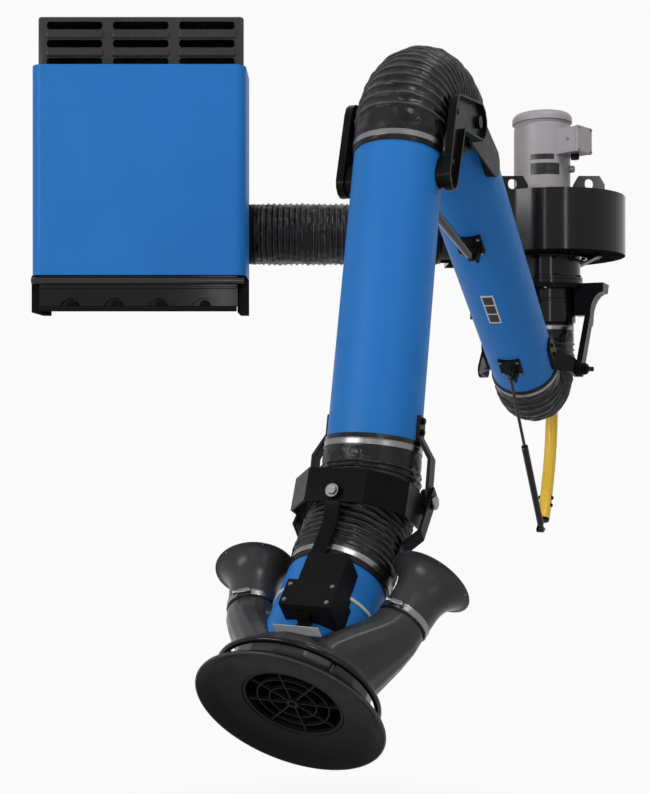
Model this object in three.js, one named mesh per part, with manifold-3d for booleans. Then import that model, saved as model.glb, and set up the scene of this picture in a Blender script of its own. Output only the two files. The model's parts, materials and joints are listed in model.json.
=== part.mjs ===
// Wall-mounted welding-fume extractor: filter cabinet, blower, jointed arm and hood.
// Millimetres, +Z up. The wall is the plane y = 0 and the object stands in front of it, at y < 0.
import * as THREE from 'three';
import Module from 'manifold-3d';

const wasm = await Module();
wasm.setup();

// Fits
const FIT = 0.3;
const PIVOT_R = 8;
const ROUND = 16;

// Arm tubes, hoses and their clamps
const TUBE_R = 101.5;
const TUBE_WALL = 1.5;
const TUBE_TUCK = 30;
const HOSE_WALL = 2.8;
const RIB_HEIGHT = 3;
const CUFF = 35;
const CLAMP_WALL = 1.4;
const CLAMP_WIDTH = 13;

// Blower
const FAN_Y = -430;
const SCROLL_TOP = 108;
const SCROLL_BOTTOM = -88;
const SCROLL_TONGUE_R = 213;
const SCROLL_BACK_R = 310;
const SCROLL_WALL = 4;
const OUTLET_X = -300;
const OUTLET_SPIGOT = 62;
const SPIGOT_WALL = 5.5;
const MOTOR_R = 94;
const MOTOR_CAP_R = 100;
const MOTOR_SHOULDER = 362;
const MOTOR_TOP = 396;
const SHAFT_R = 16;
const IMPELLER_R = 172;
const LUG_X = 125;
const LUG_FORWARD = 146;
const LUG_HEIGHT = 53;
const WALL_PLATE = 380;

// Inlet and swivel, each standing off the tube's radius
const INLET_WALL = 25.5;
const INLET_FLANGE = 23;
const INLET_BOTTOM = -170;
const COLLAR_WALL = 10.5;
const COLLAR_BOTTOM = -312;
const YOKE_RING_WALL = 38;
const FIN_TIP = 30;
const YOKE_RING_Z = -200;
const FIN_OVERHANG = 45;
const CHEEK_GAP = 50.5;
const CHEEK_WALL = 18;
const SHOULDER_U = 165;
const SHOULDER_Z = -470;

// Arm pose and lengths, in the arm's own plane
const ARM_LEFT_DEG = 23.8;
const INNER_RISE_DEG = 35.8;
const OUTER_LEAN_DEG = 13.5;
const HOOD_DIP_DEG = 42;
const LOWER_CORNER_DROP = 331;
const LOWER_BEND_R = 118;
const LOWER_STRAIGHT = 45;
const INNER_LENGTH = 984;
const ELBOW_BEND_R = 208;
const OUTER_LENGTH = 655;
const WRIST_BEND_R = 257;
const WRIST_STRAIGHT = 47;
const WRIST_END = 158;
const ELBOW_BEYOND = 114;
const ELBOW_BELOW = 104;

// Gas springs
const SPRING_R = 11;
const ROD_R = 5;
const STUD_STANDOFF = 28.5;
const LOWER_STUD_Z = 112;
const LOWER_ANCHOR_U = 5;
const LOWER_ANCHOR_Z = -1008;
const LOWER_CYLINDER = 376;
const UPPER_STUD_Z = 655;
const UPPER_ANCHOR_Z = 30;
const UPPER_CYLINDER = 330;
const BRACKET_FOOT_R = 32;
const BRACKET_KNEE_R = 40;
const BRACKET_EYE_R = 46;
const BRACKET_RIM = 18;
const BRACKET_FOOT_Z = 54;
const BRACKET_KNEE_Z = -112;
const LINK_EYE_R = 58;
const UPPER_SPRING_W = 8;
const SUPPORT_R = 21;
const SUPPORT_STANDOFF = 42;

// Hood
const STRAP_GAP = 21.4;
const STRAP_WALL = 7;
const BAND_GAP = 8;
const BAND_WALL = 5;
const BAND_TOP = -8;
const BAND_BOTTOM = 62;
const BAND_REACH = 62;
const BAND_TILT_DEG = 25;
const NECK_TOP = 120;
const SEAM_S = 315;
const NECK_END = 505;
const DISC_LIP = 28;
const DISC_SIDES = 32;
const GRILLE_SEAT = 4;
const HORN_GAP = 56.5;
const HORN_S = 312;
const HORN_TILT_DEG = 17;
const HORN_NECK_R = 50;
const HORN_MOUTH_R = 78;
const HORN_LENGTH = 112;
const BELL_FLARE = 3.2;
const LEG_SPREAD = 12;
const LEG_HALF_WIDTH = 74;
const LEG_REACH = 120;
const HANDLE_GAP = 52.5;
const HANDLE_S = 480;
const HANDLE_TUBE_R = 6.5;
const BOX_LEFT = -22;
const BOX_RIGHT = 80;
const BOX_TOP = 264;
const BOX_STEP = 338;
const BOX_BOTTOM = 396;
const BOX_DEPTH = 36;
const BOX_LOWER_DEPTH = 46;

// Filter cabinet
const CABINET_LEFT = -1698;
const CABINET_WIDTH = 703;
const CABINET_FRONT = -580;
const CABINET_TOP = 526;
const COVER_BOTTOM = -162;
const COVER_SIDE = 180;
const COVER_WALL = 2.5;
const COVER_ROUND = 38;
const CHASSIS_INSET = 40;
const CHASSIS_WALL = 3;
const CABINET_GAP = 20;
const FILTER_HEIGHT = 420;
const SLOT_MARGIN = 30;
const SLOT_GAP = 35;
const TRAY_BOTTOM = -264;
const TRAY_RISE = 42;
const TRAY_RAIL = 12;
const TRAY_BACK = -64;
const CHEEK_BOTTOM = -283;
const CHEEK_WIDTH = 28;
const LOUVRE_TOP = 702;
const LOUVRE_SETBACK = 60;
const LOUVRE_INSET = 10;
const LOUVRE_TAPER = 30;
const LOUVRE_BACK = -120;
const DUCT_Y = -260;
const DUCT_Z = 15;

// Worked-out sizes
const rad = THREE.MathUtils.degToRad;
const hoseBore = TUBE_R + FIT;
const turning = (r) => (r + FIT) / Math.cos(Math.PI / ROUND);
const inletBore = turning(TUBE_R);
const pivotHole = turning(PIVOT_R);
const cuffR = hoseBore + HOSE_WALL;
const crestR = cuffR + RIB_HEIGHT;
const inletR = TUBE_R + INLET_WALL;
const inletFlangeR = inletR + INLET_FLANGE;
const collarR = TUBE_R + COLLAR_WALL;
const yokeRingR = collarR + YOKE_RING_WALL;
const cheekIn = TUBE_R + CHEEK_GAP;
const cheekOut = cheekIn + CHEEK_WALL;
const finReach = cheekOut + FIN_OVERHANG;
const studOff = TUBE_R + STUD_STANDOFF;
const supportU = -TUBE_R - SUPPORT_STANDOFF;
const strapIn = crestR + STRAP_GAP;
const strapOut = strapIn + STRAP_WALL;
const bandIn = strapIn - BAND_GAP;
const bandFront = bandIn + BAND_REACH;
const handleR = TUBE_R + HANDLE_GAP;
const discR = handleR + DISC_LIP;
const grilleR = TUBE_R - GRILLE_SEAT;
const hornW = TUBE_R + HORN_GAP;
const clampR = cuffR + FIT;
const cabinetRight = CABINET_LEFT + CABINET_WIDTH;
const chassisLeft = CABINET_LEFT + CHASSIS_INSET;
const chassisRight = cabinetRight - CHASSIS_INSET;
const chassisFront = CABINET_FRONT + COVER_SIDE;

// Colours from the photograph
const paint = (color, roughness, metalness) => new THREE.MeshStandardMaterial({ color, roughness, metalness });
const BLUE = paint(0x1f6fc0, 0.35, 0.1);
const BLACK = paint(0x1d1d1f, 0.45, 0.2);
const RUBBER = paint(0x19191b, 0.8, 0);
const PLASTIC = paint(0x232325, 0.5, 0);
const GREY = paint(0x968f91, 0.5, 0.3);
const PALE = paint(0xc4c6c8, 0.6, 0);
const STEEL = paint(0xb9bcc0, 0.3, 0.9);
const YELLOW = paint(0xd8aa1c, 0.4, 0.1);
const FILTER = paint(0xd9d5c8, 0.9, 0);

// Solids

function solid(geometry) {
  const place = geometry.getAttribute('position');
  const index = geometry.getIndex();
  const corner = new Map();
  const points = [];
  const triangles = [];
  const cornerOf = (i) => {
    const p = [place.getX(i), place.getY(i), place.getZ(i)];
    const key = p.map((v) => Math.round(v * 1e4)).join(' ');
    if (!corner.has(key)) {
      corner.set(key, points.length / 3);
      points.push(...p);
    }
    return corner.get(key);
  };
  const count = index ? index.count : place.count;
  for (let i = 0; i < count; i += 3) {
    const [a, b, c] = [0, 1, 2].map((k) => cornerOf(index ? index.getX(i + k) : i + k));
    if (a !== b && b !== c && c !== a) triangles.push(a, b, c);
  }
  const build = (order) => new wasm.Manifold(new wasm.Mesh({
    numProp: 3,
    vertProperties: new Float32Array(points),
    triVerts: new Uint32Array(order),
  }));
  const made = build(triangles);
  if (made.volume() > 0) return made;
  return build(triangles.reverse());
}

function join(first, ...others) {
  return others.reduce((sum, other) => sum.add(other), first);
}

function cut(first, ...others) {
  return others.reduce((rest, other) => rest.subtract(other), first);
}

function block(x0, x1, y0, y1, z0, z1) {
  const geometry = new THREE.BoxGeometry(x1 - x0, y1 - y0, z1 - z0);
  geometry.translate((x0 + x1) / 2, (y0 + y1) / 2, (z0 + z1) / 2);
  return solid(geometry);
}

// A closed profile of [radius, height] turned about z.
function turned(profile, sides = ROUND) {
  const loop = [...profile, profile[0]].map(([r, z]) => new THREE.Vector2(r, z));
  const geometry = new THREE.LatheGeometry(loop, sides);
  geometry.rotateX(Math.PI / 2);
  return solid(geometry);
}

function pipe(inside, outside, z0, z1, sides = ROUND) {
  return turned([[inside, z0], [outside, z0], [outside, z1], [inside, z1]], sides);
}

function rod(r, z0, z1, sides = ROUND) {
  return turned([[0, z0], [r, z0], [r, z1], [0, z1]], sides);
}

// Turns a solid made along z to lie along an axis, then moves it.
function laid(shape, axis, at = [0, 0, 0]) {
  const turn = { x: [0, 90, 0], y: [-90, 0, 0], z: [0, 0, 0] }[axis];
  return shape.rotate(turn).translate(at);
}

// An outline pushed from a to b along an axis. The outline's points are in the other two axes, in order.
function prism(outline, axis, a, b) {
  const shape = new THREE.Shape(outline.map(([p, q]) => new THREE.Vector2(p, q)));
  const geometry = new THREE.ExtrudeGeometry(shape, { depth: b - a, bevelEnabled: false });
  const [X, Y, Z] = [[1, 0, 0], [0, 1, 0], [0, 0, 1]].map((v) => new THREE.Vector3(...v));
  const basis = { x: [Y, Z, X], y: [X, Z, Y], z: [X, Y, Z] }[axis];
  geometry.translate(0, 0, a);
  geometry.applyMatrix4(new THREE.Matrix4().makeBasis(...basis));
  return solid(geometry);
}

// The tight outline round a few circles, each [p, q, radius].
function roundedOutline(circles) {
  const dots = circles.flatMap(([p, q, r]) => Array.from({ length: 12 }, (_, i) => {
    const angle = (i * Math.PI) / 6;
    return [p + r * Math.cos(angle), q + r * Math.sin(angle)];
  }));
  dots.sort((a, b) => a[0] - b[0] || a[1] - b[1]);
  const side = (a, b, c) => (b[0] - a[0]) * (c[1] - a[1]) - (b[1] - a[1]) * (c[0] - a[0]);
  const chain = (list) => {
    const kept = [];
    for (const dot of list) {
      while (kept.length > 1 && side(kept.at(-2), kept.at(-1), dot) <= 1e-6) kept.pop();
      kept.push(dot);
    }
    return kept.slice(0, -1);
  };
  return [...chain(dots), ...chain([...dots].reverse())];
}

// A round bar along a curve through a few points.
function bent(points, r, sides = 10, steps = 14) {
  const curve = new THREE.CatmullRomCurve3(points.map((p) => new THREE.Vector3(...p)));
  const ring = new THREE.Shape(Array.from({ length: sides }, (_, i) => {
    const angle = (i * 2 * Math.PI) / sides;
    return new THREE.Vector2(r * Math.cos(angle), r * Math.sin(angle));
  }));
  return solid(new THREE.ExtrudeGeometry(ring, { steps, extrudePath: curve, bevelEnabled: false }));
}

// A solid through elliptic sections, each tilted about x.
function lofted(sections) {
  const points = [];
  for (const { at, halfX, halfY, tiltDeg } of sections) {
    for (let k = 0; k < ROUND; k += 1) {
      const angle = (k * 2 * Math.PI) / ROUND;
      const side = halfY * Math.sin(angle);
      const lean = rad(tiltDeg);
      points.push(at[0] + halfX * Math.cos(angle), at[1] + side * Math.cos(lean), at[2] + side * Math.sin(lean));
    }
  }
  const index = [];
  for (let i = 0; i + 1 < sections.length; i += 1) {
    for (let k = 0; k < ROUND; k += 1) {
      const [a, b] = [i * ROUND + k, i * ROUND + ((k + 1) % ROUND)];
      index.push(a, b, b + ROUND, a, b + ROUND, a + ROUND);
    }
  }
  const last = (sections.length - 1) * ROUND;
  for (let k = 1; k + 1 < ROUND; k += 1) index.push(0, k + 1, k, last, last + k, last + k + 1);
  const geometry = new THREE.BufferGeometry();
  geometry.setAttribute('position', new THREE.Float32BufferAttribute(points, 3));
  geometry.setIndex(index);
  return solid(geometry);
}

// A ribbed hose that starts at the origin along z, bends toward +x and ends straight.
function hose(start, bendR, turnDeg, end, ribs) {
  const turn = rad(turnDeg);
  const arc = bendR * turn;
  const length = start + arc + end;
  const station = (s) => {
    const phi = Math.min(Math.max(s - start, 0), arc) / (bendR || 1);
    const before = Math.min(s, start);
    const after = Math.max(s - start - arc, 0);
    return {
      x: bendR * (1 - Math.cos(phi)) + after * Math.sin(phi),
      z: before + bendR * Math.sin(phi) + after * Math.cos(phi),
      phi,
    };
  };
  const pitch = (length - 2 * CUFF) / ribs;
  const rings = [[0, cuffR], [CUFF, cuffR]];
  for (let i = 0; i < ribs; i += 1) {
    rings.push([CUFF + (i + 0.5) * pitch, crestR], [CUFF + (i + 1) * pitch, cuffR]);
  }
  rings.push([length, cuffR], [length, hoseBore], [length - CUFF, hoseBore]);
  for (let i = ribs - 3; i > 0; i -= 3) rings.push([CUFF + i * pitch, hoseBore]);
  rings.push([CUFF, hoseBore], [0, hoseBore]);
  const points = [];
  for (const [s, r] of rings) {
    const { x, z, phi } = station(s);
    for (let k = 0; k < ROUND; k += 1) {
      const angle = (k * 2 * Math.PI) / ROUND;
      const reach = r * Math.cos(angle);
      points.push(x + reach * Math.cos(phi), r * Math.sin(angle), z - reach * Math.sin(phi));
    }
  }
  const index = [];
  rings.forEach((_, i) => {
    const next = (i + 1) % rings.length;
    for (let k = 0; k < ROUND; k += 1) {
      const [a, b] = [i * ROUND + k, i * ROUND + ((k + 1) % ROUND)];
      const [c, d] = [next * ROUND + k, next * ROUND + ((k + 1) % ROUND)];
      index.push(a, b, d, a, d, c);
    }
  });
  const geometry = new THREE.BufferGeometry();
  geometry.setAttribute('position', new THREE.Float32BufferAttribute(points, 3));
  geometry.setIndex(index);
  return solid(geometry);
}

// A worm-drive band round a hose cuff, centred on z, with its screw housing at the given angle.
function bandClamp(z, screwDeg, inside = clampR) {
  const outside = inside + CLAMP_WALL;
  const housing = block(inside + FIT, outside + 9, -14, 14, z - 5, z + 5);
  return pipe(inside, outside, z - CLAMP_WIDTH / 2, z + CLAMP_WIDTH / 2).add(housing.rotate([0, 0, screwDeg]));
}

// Scene graph

const group = new THREE.Group();
group.name = 'fume_extractor';

function frameAt(parent, name, position, axis, degrees) {
  const frame = new THREE.Group();
  frame.name = name;
  frame.position.set(...position);
  if (axis) frame.rotation[axis] = rad(degrees);
  parent.add(frame);
  return frame;
}

function put(parent, name, shape, material) {
  const made = shape.getMesh();
  const geometry = new THREE.BufferGeometry();
  geometry.setAttribute('position', new THREE.BufferAttribute(new Float32Array(made.vertProperties), 3));
  geometry.setIndex(new THREE.BufferAttribute(new Uint32Array(made.triVerts), 1));
  geometry.computeVertexNormals();
  const mesh = new THREE.Mesh(geometry, material);
  mesh.name = name;
  parent.add(mesh);
}

// Filter cabinet

function cabinet() {
  const back = -CABINET_GAP;
  const wrap = (inset) => {
    const shape = [];
    const r = COVER_ROUND - inset;
    const arcAt = (x, y, from) => {
      for (let i = 0; i <= 6; i += 1) {
        const angle = rad(from + i * 15);
        shape.push([x + r * Math.cos(angle), y + r * Math.sin(angle)]);
      }
    };
    shape.push([CABINET_LEFT + inset, chassisFront]);
    arcAt(CABINET_LEFT + COVER_ROUND, CABINET_FRONT + COVER_ROUND, 180);
    arcAt(cabinetRight - COVER_ROUND, CABINET_FRONT + COVER_ROUND, 270);
    shape.push([cabinetRight - inset, chassisFront]);
    return shape;
  };
  const outer = prism(wrap(0), 'z', COVER_BOTTOM, CABINET_TOP);
  const inner = prism(wrap(COVER_WALL), 'z', COVER_BOTTOM - 1, CABINET_TOP + 1);
  const backCut = block(CABINET_LEFT - 1, cabinetRight + 1, chassisFront - 0.5, back, -999, 999);
  put(group, 'cabinet_cover', cut(outer, inner, backCut), BLUE);

  const w = CHASSIS_WALL;
  const floor = COVER_BOTTOM + FIT;
  const ceiling = CABINET_TOP - FIT;
  const frontFace = CABINET_FRONT + COVER_ROUND;
  const holdL = CABINET_LEFT + COVER_WALL + FIT;
  const holdR = cabinetRight - COVER_WALL - FIT;
  const box = block(chassisLeft, chassisRight, chassisFront, back, floor, ceiling);
  const hollow = block(chassisLeft + w, chassisRight - w, chassisFront - 1, back - w, floor + w, ceiling - w);
  const topVent = block(chassisLeft + 60, chassisRight - 60, -360, -120, ceiling - 20, ceiling + 20);
  const dustHole = block(chassisLeft + 90, chassisRight - 90, -360, -80, floor - 20, floor + 20);
  const ductAt = [chassisRight, DUCT_Y, DUCT_Z];
  const ductHole = laid(rod(TUBE_R - 4, -40, 40), 'x', ductAt);
  const rim = cut(
    block(holdL, holdR, frontFace, chassisFront + w, floor, ceiling),
    block(chassisLeft + 40, chassisRight - 40, frontFace - 1, chassisFront + w + 1, floor + 40, ceiling - 40),
    block(holdL - 1, holdR + 1, frontFace - 1, chassisFront - 24, floor + 12, ceiling - 12),
  );
  const cheek = (x) => join(
    block(x, x + CHEEK_WIDTH, CABINET_FRONT + 20, chassisFront, CHEEK_BOTTOM, COVER_BOTTOM - FIT),
    block(x + 6, x + CHEEK_WIDTH - 6, frontFace + 4, chassisFront, COVER_BOTTOM - 6, floor + w),
  );
  const railUnder = floor - 8 - FIT;
  const runner = (x) => block(x, x + 10, CABINET_FRONT + 60, TRAY_BACK - 6, railUnder - 8, railUnder);
  const spigot = laid(join(pipe(TUBE_R - 4, TUBE_R, -1, 62), pipe(TUBE_R - 4, TUBE_R + 16, -1, 5)), 'x', ductAt);
  const shell = join(
    cut(box, hollow, topVent, dustHole, ductHole),
    spigot,
    cut(rim, hollow),
    cheek(CABINET_LEFT),
    cheek(cabinetRight - CHEEK_WIDTH),
    runner(CABINET_LEFT + CHEEK_WIDTH - 0.5),
    runner(cabinetRight - CHEEK_WIDTH - 9.5),
    block(chassisLeft + 120, chassisRight - 120, back - w, 0, ceiling - 90, ceiling - 40),
    block(chassisLeft + 120, chassisRight - 120, back - w, 0, floor + 30, floor + 80),
  );
  put(group, 'cabinet_chassis', shell, BLACK);

  const pleats = 22;
  const left = chassisLeft + 30;
  const span = (chassisRight - chassisLeft - 60) / (2 * pleats);
  const zigzag = Array.from({ length: 2 * pleats + 1 }, (_, i) => [left + i * span, i % 2 ? -330 : -300]);
  const media = [...zigzag, [chassisRight - 30, -70], [left, -70]];
  put(group, 'filter_pack', prism(media, 'z', floor + w + FIT, floor + w + FILTER_HEIGHT), FILTER);

  const trayTop = floor - 2;
  const panelIn = CHEEK_WIDTH + FIT;
  const bodyIn = CHEEK_WIDTH + TRAY_RAIL;
  const faceY = CABINET_FRONT + 8;
  const side = (inset, top) => [
    [faceY + inset * 8, TRAY_BOTTOM + inset],
    [TRAY_BACK - inset, TRAY_BOTTOM + TRAY_RISE + inset],
    [TRAY_BACK - inset, top],
    [faceY + inset * 8, top],
  ];
  const across = (outline, inset) => prism(outline, 'x', CABINET_LEFT + inset, cabinetRight - inset);
  const tray = join(
    cut(across(side(0, trayTop), bodyIn), across(side(3, 0), bodyIn + 3)),
    block(CABINET_LEFT + panelIn, cabinetRight - panelIn, faceY, faceY + 14, TRAY_BOTTOM, trayTop),
    block(CABINET_LEFT + panelIn, CABINET_LEFT + bodyIn + 1, faceY + 10, TRAY_BACK, trayTop - 6, trayTop),
    block(cabinetRight - bodyIn - 1, cabinetRight - panelIn, faceY + 10, TRAY_BACK, trayTop - 6, trayTop),
  );
  const rail = laid(rod(11, CABINET_LEFT + 4, cabinetRight - 4, 12), 'x', [0, CABINET_FRONT + 6, COVER_BOTTOM - 18]);
  const pitch = CABINET_WIDTH * 0.205;
  const scallops = [-1.5, -0.5, 0.5, 1.5].map((i) => {
    const x = CABINET_LEFT + CABINET_WIDTH / 2 + i * pitch;
    return laid(rod(46, -14, 14, 16), 'y', [x, CABINET_FRONT + 6, TRAY_BOTTOM - 18]);
  });
  const drawer = frameAt(group, 'dust_drawer', [0, 0, 0]);
  put(drawer, 'dust_tray', cut(tray.add(rail), ...scallops), PLASTIC);

  const louvreFront = CABINET_FRONT + LOUVRE_SETBACK;
  const louvreLeft = CABINET_LEFT + LOUVRE_INSET;
  const louvreRight = cabinetRight - LOUVRE_INSET;
  const skin = 4;
  const profile = roundedOutline([
    [louvreFront + 12, LOUVRE_TOP - 12, 12],
    [LOUVRE_BACK - 12, LOUVRE_TOP - 12, 12],
    [louvreFront + 1, CABINET_TOP + 1 + FIT, 1],
    [LOUVRE_BACK - 1, CABINET_TOP + 1 + FIT, 1],
  ]);
  const plan = (inset, back) => [
    [louvreLeft + inset, louvreFront + inset],
    [louvreRight - inset, louvreFront + inset],
    [louvreRight - inset - LOUVRE_TAPER, back],
    [louvreLeft + inset + LOUVRE_TAPER, back],
  ];
  const slotWide = (louvreRight - louvreLeft - 2 * SLOT_MARGIN - 2 * SLOT_GAP) / 3;
  const slots = [0, 1, 2].flatMap((column) => [0, 1, 2].map((row) => {
    const x = louvreLeft + SLOT_MARGIN + column * (slotWide + SLOT_GAP);
    const z = CABINET_TOP + 12 + row * 60;
    return block(x, x + slotWide, louvreFront - 5, louvreFront + skin + 5, z, z + 26);
  }));
  const cavity = prism(plan(skin, LOUVRE_BACK - 2 * skin), 'z', CABINET_TOP - 9, LOUVRE_TOP - skin);
  const cap = prism(profile, 'x', louvreLeft, louvreRight).intersect(prism(plan(0, LOUVRE_BACK), 'z', 0, 999));
  put(group, 'outlet_louvre', cut(cap, cavity, ...slots), PLASTIC);
}

function duct() {
  const start = chassisRight + 30;
  const end = OUTLET_X - 30;
  const along = (shape) => laid(shape, 'x', [start, DUCT_Y, DUCT_Z]);
  put(group, 'duct_hose', along(hose(end - start, 0, 0, 0, 18)), RUBBER);
  put(group, 'duct_clamp_left', along(bandClamp(CUFF / 2, 90)), STEEL);
  put(group, 'duct_clamp_right', along(bandClamp(end - start - CUFF / 2, 90)), STEEL);
}

// Blower

function scrollOutline(inset) {
  const turns = 24;
  const [from, to] = [170, 450];
  const spiral = Array.from({ length: turns + 1 }, (_, i) => {
    const angle = rad(from + ((to - from) * i) / turns);
    const r = SCROLL_TONGUE_R + ((SCROLL_BACK_R - SCROLL_TONGUE_R) * i) / turns - inset;
    return [r * Math.cos(angle), FAN_Y + r * Math.sin(angle)];
  });
  const back = FAN_Y + SCROLL_BACK_R - inset;
  return [...spiral, [OUTLET_X + inset, back], [OUTLET_X + inset, spiral[0][1] + inset]];
}

function blower() {
  const axis = [0, FAN_Y, 0];
  const spigotEnd = OUTLET_X - OUTLET_SPIGOT;
  const outside = prism(scrollOutline(0), 'z', SCROLL_BOTTOM, SCROLL_TOP);
  const inside = prism(scrollOutline(SCROLL_WALL), 'z', SCROLL_BOTTOM + SCROLL_WALL, SCROLL_TOP - SCROLL_WALL);
  const outlet = [OUTLET_X, DUCT_Y, DUCT_Z];
  const boss = laid(rod(TUBE_R + 4, 0, 8), 'x', outlet);
  const spigot = laid(rod(TUBE_R, spigotEnd - OUTLET_X, 2), 'x', outlet);
  const bore = laid(rod(TUBE_R - SPIGOT_WALL, spigotEnd - OUTLET_X - 5, 30), 'x', outlet);
  const inletHole = rod(TUBE_R - 2, SCROLL_BOTTOM - 5, SCROLL_BOTTOM + 20).translate(axis);
  const shaftHole = rod(SHAFT_R + 14, SCROLL_TOP - 20, SCROLL_TOP + 5).translate(axis);
  const lug = roundedOutline([
    [-48, SCROLL_TOP, 3],
    [48, SCROLL_TOP, 3],
    [-47, SCROLL_TOP + LUG_HEIGHT - 30, 4],
    [47, SCROLL_TOP + LUG_HEIGHT - 30, 4],
    [-32, SCROLL_TOP + LUG_HEIGHT - 4, 4],
    [32, SCROLL_TOP + LUG_HEIGHT - 4, 4],
  ]);
  const eyeZ = SCROLL_TOP + LUG_HEIGHT - 26;
  const eye = prism(roundedOutline([[0, eyeZ - 3, 14], [0, eyeZ + 3, 14]]), 'y', -9, 9);
  const plate = cut(prism(lug, 'y', -5, 5), eye);
  const foot = block(-51, 51, -5, 26, SCROLL_TOP - 1, SCROLL_TOP + 6);
  const lugs = [-LUG_X, LUG_X].map((x) => plate.add(foot).translate([x, FAN_Y - LUG_FORWARD, 0]));
  const shell = join(outside, boss, spigot, ...lugs);
  put(group, 'scroll_housing', cut(shell, inside, bore, inletHole, shaftHole), BLACK);

  const seat = SCROLL_TOP + FIT;
  const bearing = rod(turning(SHAFT_R), seat - 1, seat + 62);
  const body = join(rod(MOTOR_R + 14, seat, seat + 10), rod(MOTOR_R, seat + 5, MOTOR_SHOULDER));
  put(group, 'motor_body', cut(body, bearing).translate(axis), GREY);
  const cap = turned([
    [0, MOTOR_SHOULDER + FIT],
    [MOTOR_CAP_R, MOTOR_SHOULDER + FIT],
    [MOTOR_CAP_R, MOTOR_TOP - 10],
    [MOTOR_CAP_R - 3, MOTOR_TOP - 3],
    [MOTOR_CAP_R - 10, MOTOR_TOP],
    [0, MOTOR_TOP],
  ]);
  put(group, 'motor_cap', cap.translate(axis), GREY);
  const motorHollow = rod(MOTOR_R + FIT, seat, MOTOR_SHOULDER);
  const box = block(MOTOR_R - 30, MOTOR_R + 72, -42, 42, 244, 328).subtract(motorHollow);
  put(group, 'terminal_box', box.rotate([0, 0, -45]).translate(axis), GREY);

  const wheel = frameAt(group, 'fan_wheel', axis);
  const shaftTop = seat + 60;
  const blades = Array.from({ length: 10 }, (_, i) => {
    const blade = block(24, IMPELLER_R, -1.5, 1.5, -62, 57);
    return blade.rotate([0, 0, i * 36]);
  });
  const hub = rod(SHAFT_R + 12, -40, 70);
  const backPlate = rod(IMPELLER_R, 56, 61);
  const shaft = rod(SHAFT_R, -50, shaftTop);
  put(wheel, 'impeller', join(hub, shaft, backPlate, ...blades), GREY);

  const top = SCROLL_BOTTOM - FIT;
  const inlet = turned([
    [inletBore, top],
    [inletFlangeR, top],
    [inletFlangeR, top - 9],
    [inletR, top - 9],
    [inletR, INLET_BOTTOM + 10],
    [inletR + 8, INLET_BOTTOM + 10],
    [inletR + 8, INLET_BOTTOM],
    [inletBore, INLET_BOTTOM],
  ]);
  put(group, 'inlet_pipe', inlet.translate(axis), BLACK);

  const beam = (x) => join(
    block(x, x + 20, FAN_Y - 130, 0, top - 12, top),
    prism([[-4, top - 10], [-4, top - 170], [-190, top - 22], [-190, top - 10]], 'x', x + 7, x + 13),
  );
  const wallPlate = block(-WALL_PLATE / 2, WALL_PLATE / 2, -8, 0, top - 180, top + 190);
  put(group, 'wall_bracket', join(wallPlate, beam(inletFlangeR + 4), beam(-inletFlangeR - 24)), BLACK);
}

// Arm: its own frame has x outward along the arm, y to the arm's right and z up.

const arm = frameAt(group, 'arm_swivel', [0, FAN_Y, 0], 'z', -90 - ARM_LEFT_DEG);
const innerDir = [Math.cos(rad(INNER_RISE_DEG)), Math.sin(rad(INNER_RISE_DEG))];
const outerDir = [Math.sin(rad(OUTER_LEAN_DEG)), -Math.cos(rad(OUTER_LEAN_DEG))];
const hoodDir = [Math.cos(rad(HOOD_DIP_DEG)), -Math.sin(rad(HOOD_DIP_DEG))];
const lowerTurn = 90 + INNER_RISE_DEG;
const elbowTurn = 90 + INNER_RISE_DEG - OUTER_LEAN_DEG;
const wristTurn = 90 - OUTER_LEAN_DEG - HOOD_DIP_DEG;
const bendTangent = (r, turn) => r * Math.tan(rad(turn) / 2);
const along = ([u, z], [du, dz], length) => [u + du * length, z + dz * length];
const lowerTangent = bendTangent(LOWER_BEND_R, lowerTurn);
const elbowTangent = bendTangent(ELBOW_BEND_R, elbowTurn) + CUFF;
const wristTangent = bendTangent(WRIST_BEND_R, wristTurn);
const lowerCorner = [0, COLLAR_BOTTOM - LOWER_CORNER_DROP];
const innerStart = along(lowerCorner, innerDir, lowerTangent + LOWER_STRAIGHT + CUFF);
const innerEnd = along(innerStart, innerDir, INNER_LENGTH);
const elbowCorner = along(innerEnd, innerDir, elbowTangent);
const outerStart = along(elbowCorner, outerDir, elbowTangent);
const outerEnd = along(outerStart, outerDir, OUTER_LENGTH);
const wrist = along(outerEnd, outerDir, WRIST_STRAIGHT + wristTangent);
const neckStart = wristTangent + WRIST_END;

const armFrame = (parent, name, [u, z], degrees) => frameAt(parent, name, [u, 0, z], 'y', degrees);
const inner = armFrame(arm, 'inner_arm', innerStart, 90 - INNER_RISE_DEG);
const outer = armFrame(arm, 'outer_arm', outerStart, 180 - OUTER_LEAN_DEG);
const hoodFrame = armFrame(arm, 'hood_frame', wrist, 90 + HOOD_DIP_DEG);
const hood = frameAt(hoodFrame, 'hood', [0, 0, 0]);

// A point of the arm's plane as [x, z] of a frame that starts at a place and runs along a direction.
function seen([u, z], [startU, startZ], [du, dz]) {
  const [ru, rz] = [u - startU, z - startZ];
  return [ru * dz - rz * du, ru * du + rz * dz];
}

// The inverse: a frame's [x, z] as a point of the arm's plane.
function placed([x, z], [startU, startZ], [du, dz]) {
  return [startU + x * dz + z * du, startZ - x * du + z * dz];
}

const shoulder = [SHOULDER_U, SHOULDER_Z];
const elbow = placed([ELBOW_BELOW, INNER_LENGTH + ELBOW_BEYOND], innerStart, innerDir);
const tubeHollow = (z0, z1) => rod(TUBE_R + FIT, z0, z1);
const acrossW = (shape, x, w, z) => laid(shape, 'y', [x, w, z]);
const mirrored = (shape, side) => (side > 0 ? shape : shape.mirror([0, 1, 0]));
const SIDES = [['right', 1], ['left', -1]];

// Swivel: collar, yoke, support bar and the lower gas spring's foot

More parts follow.
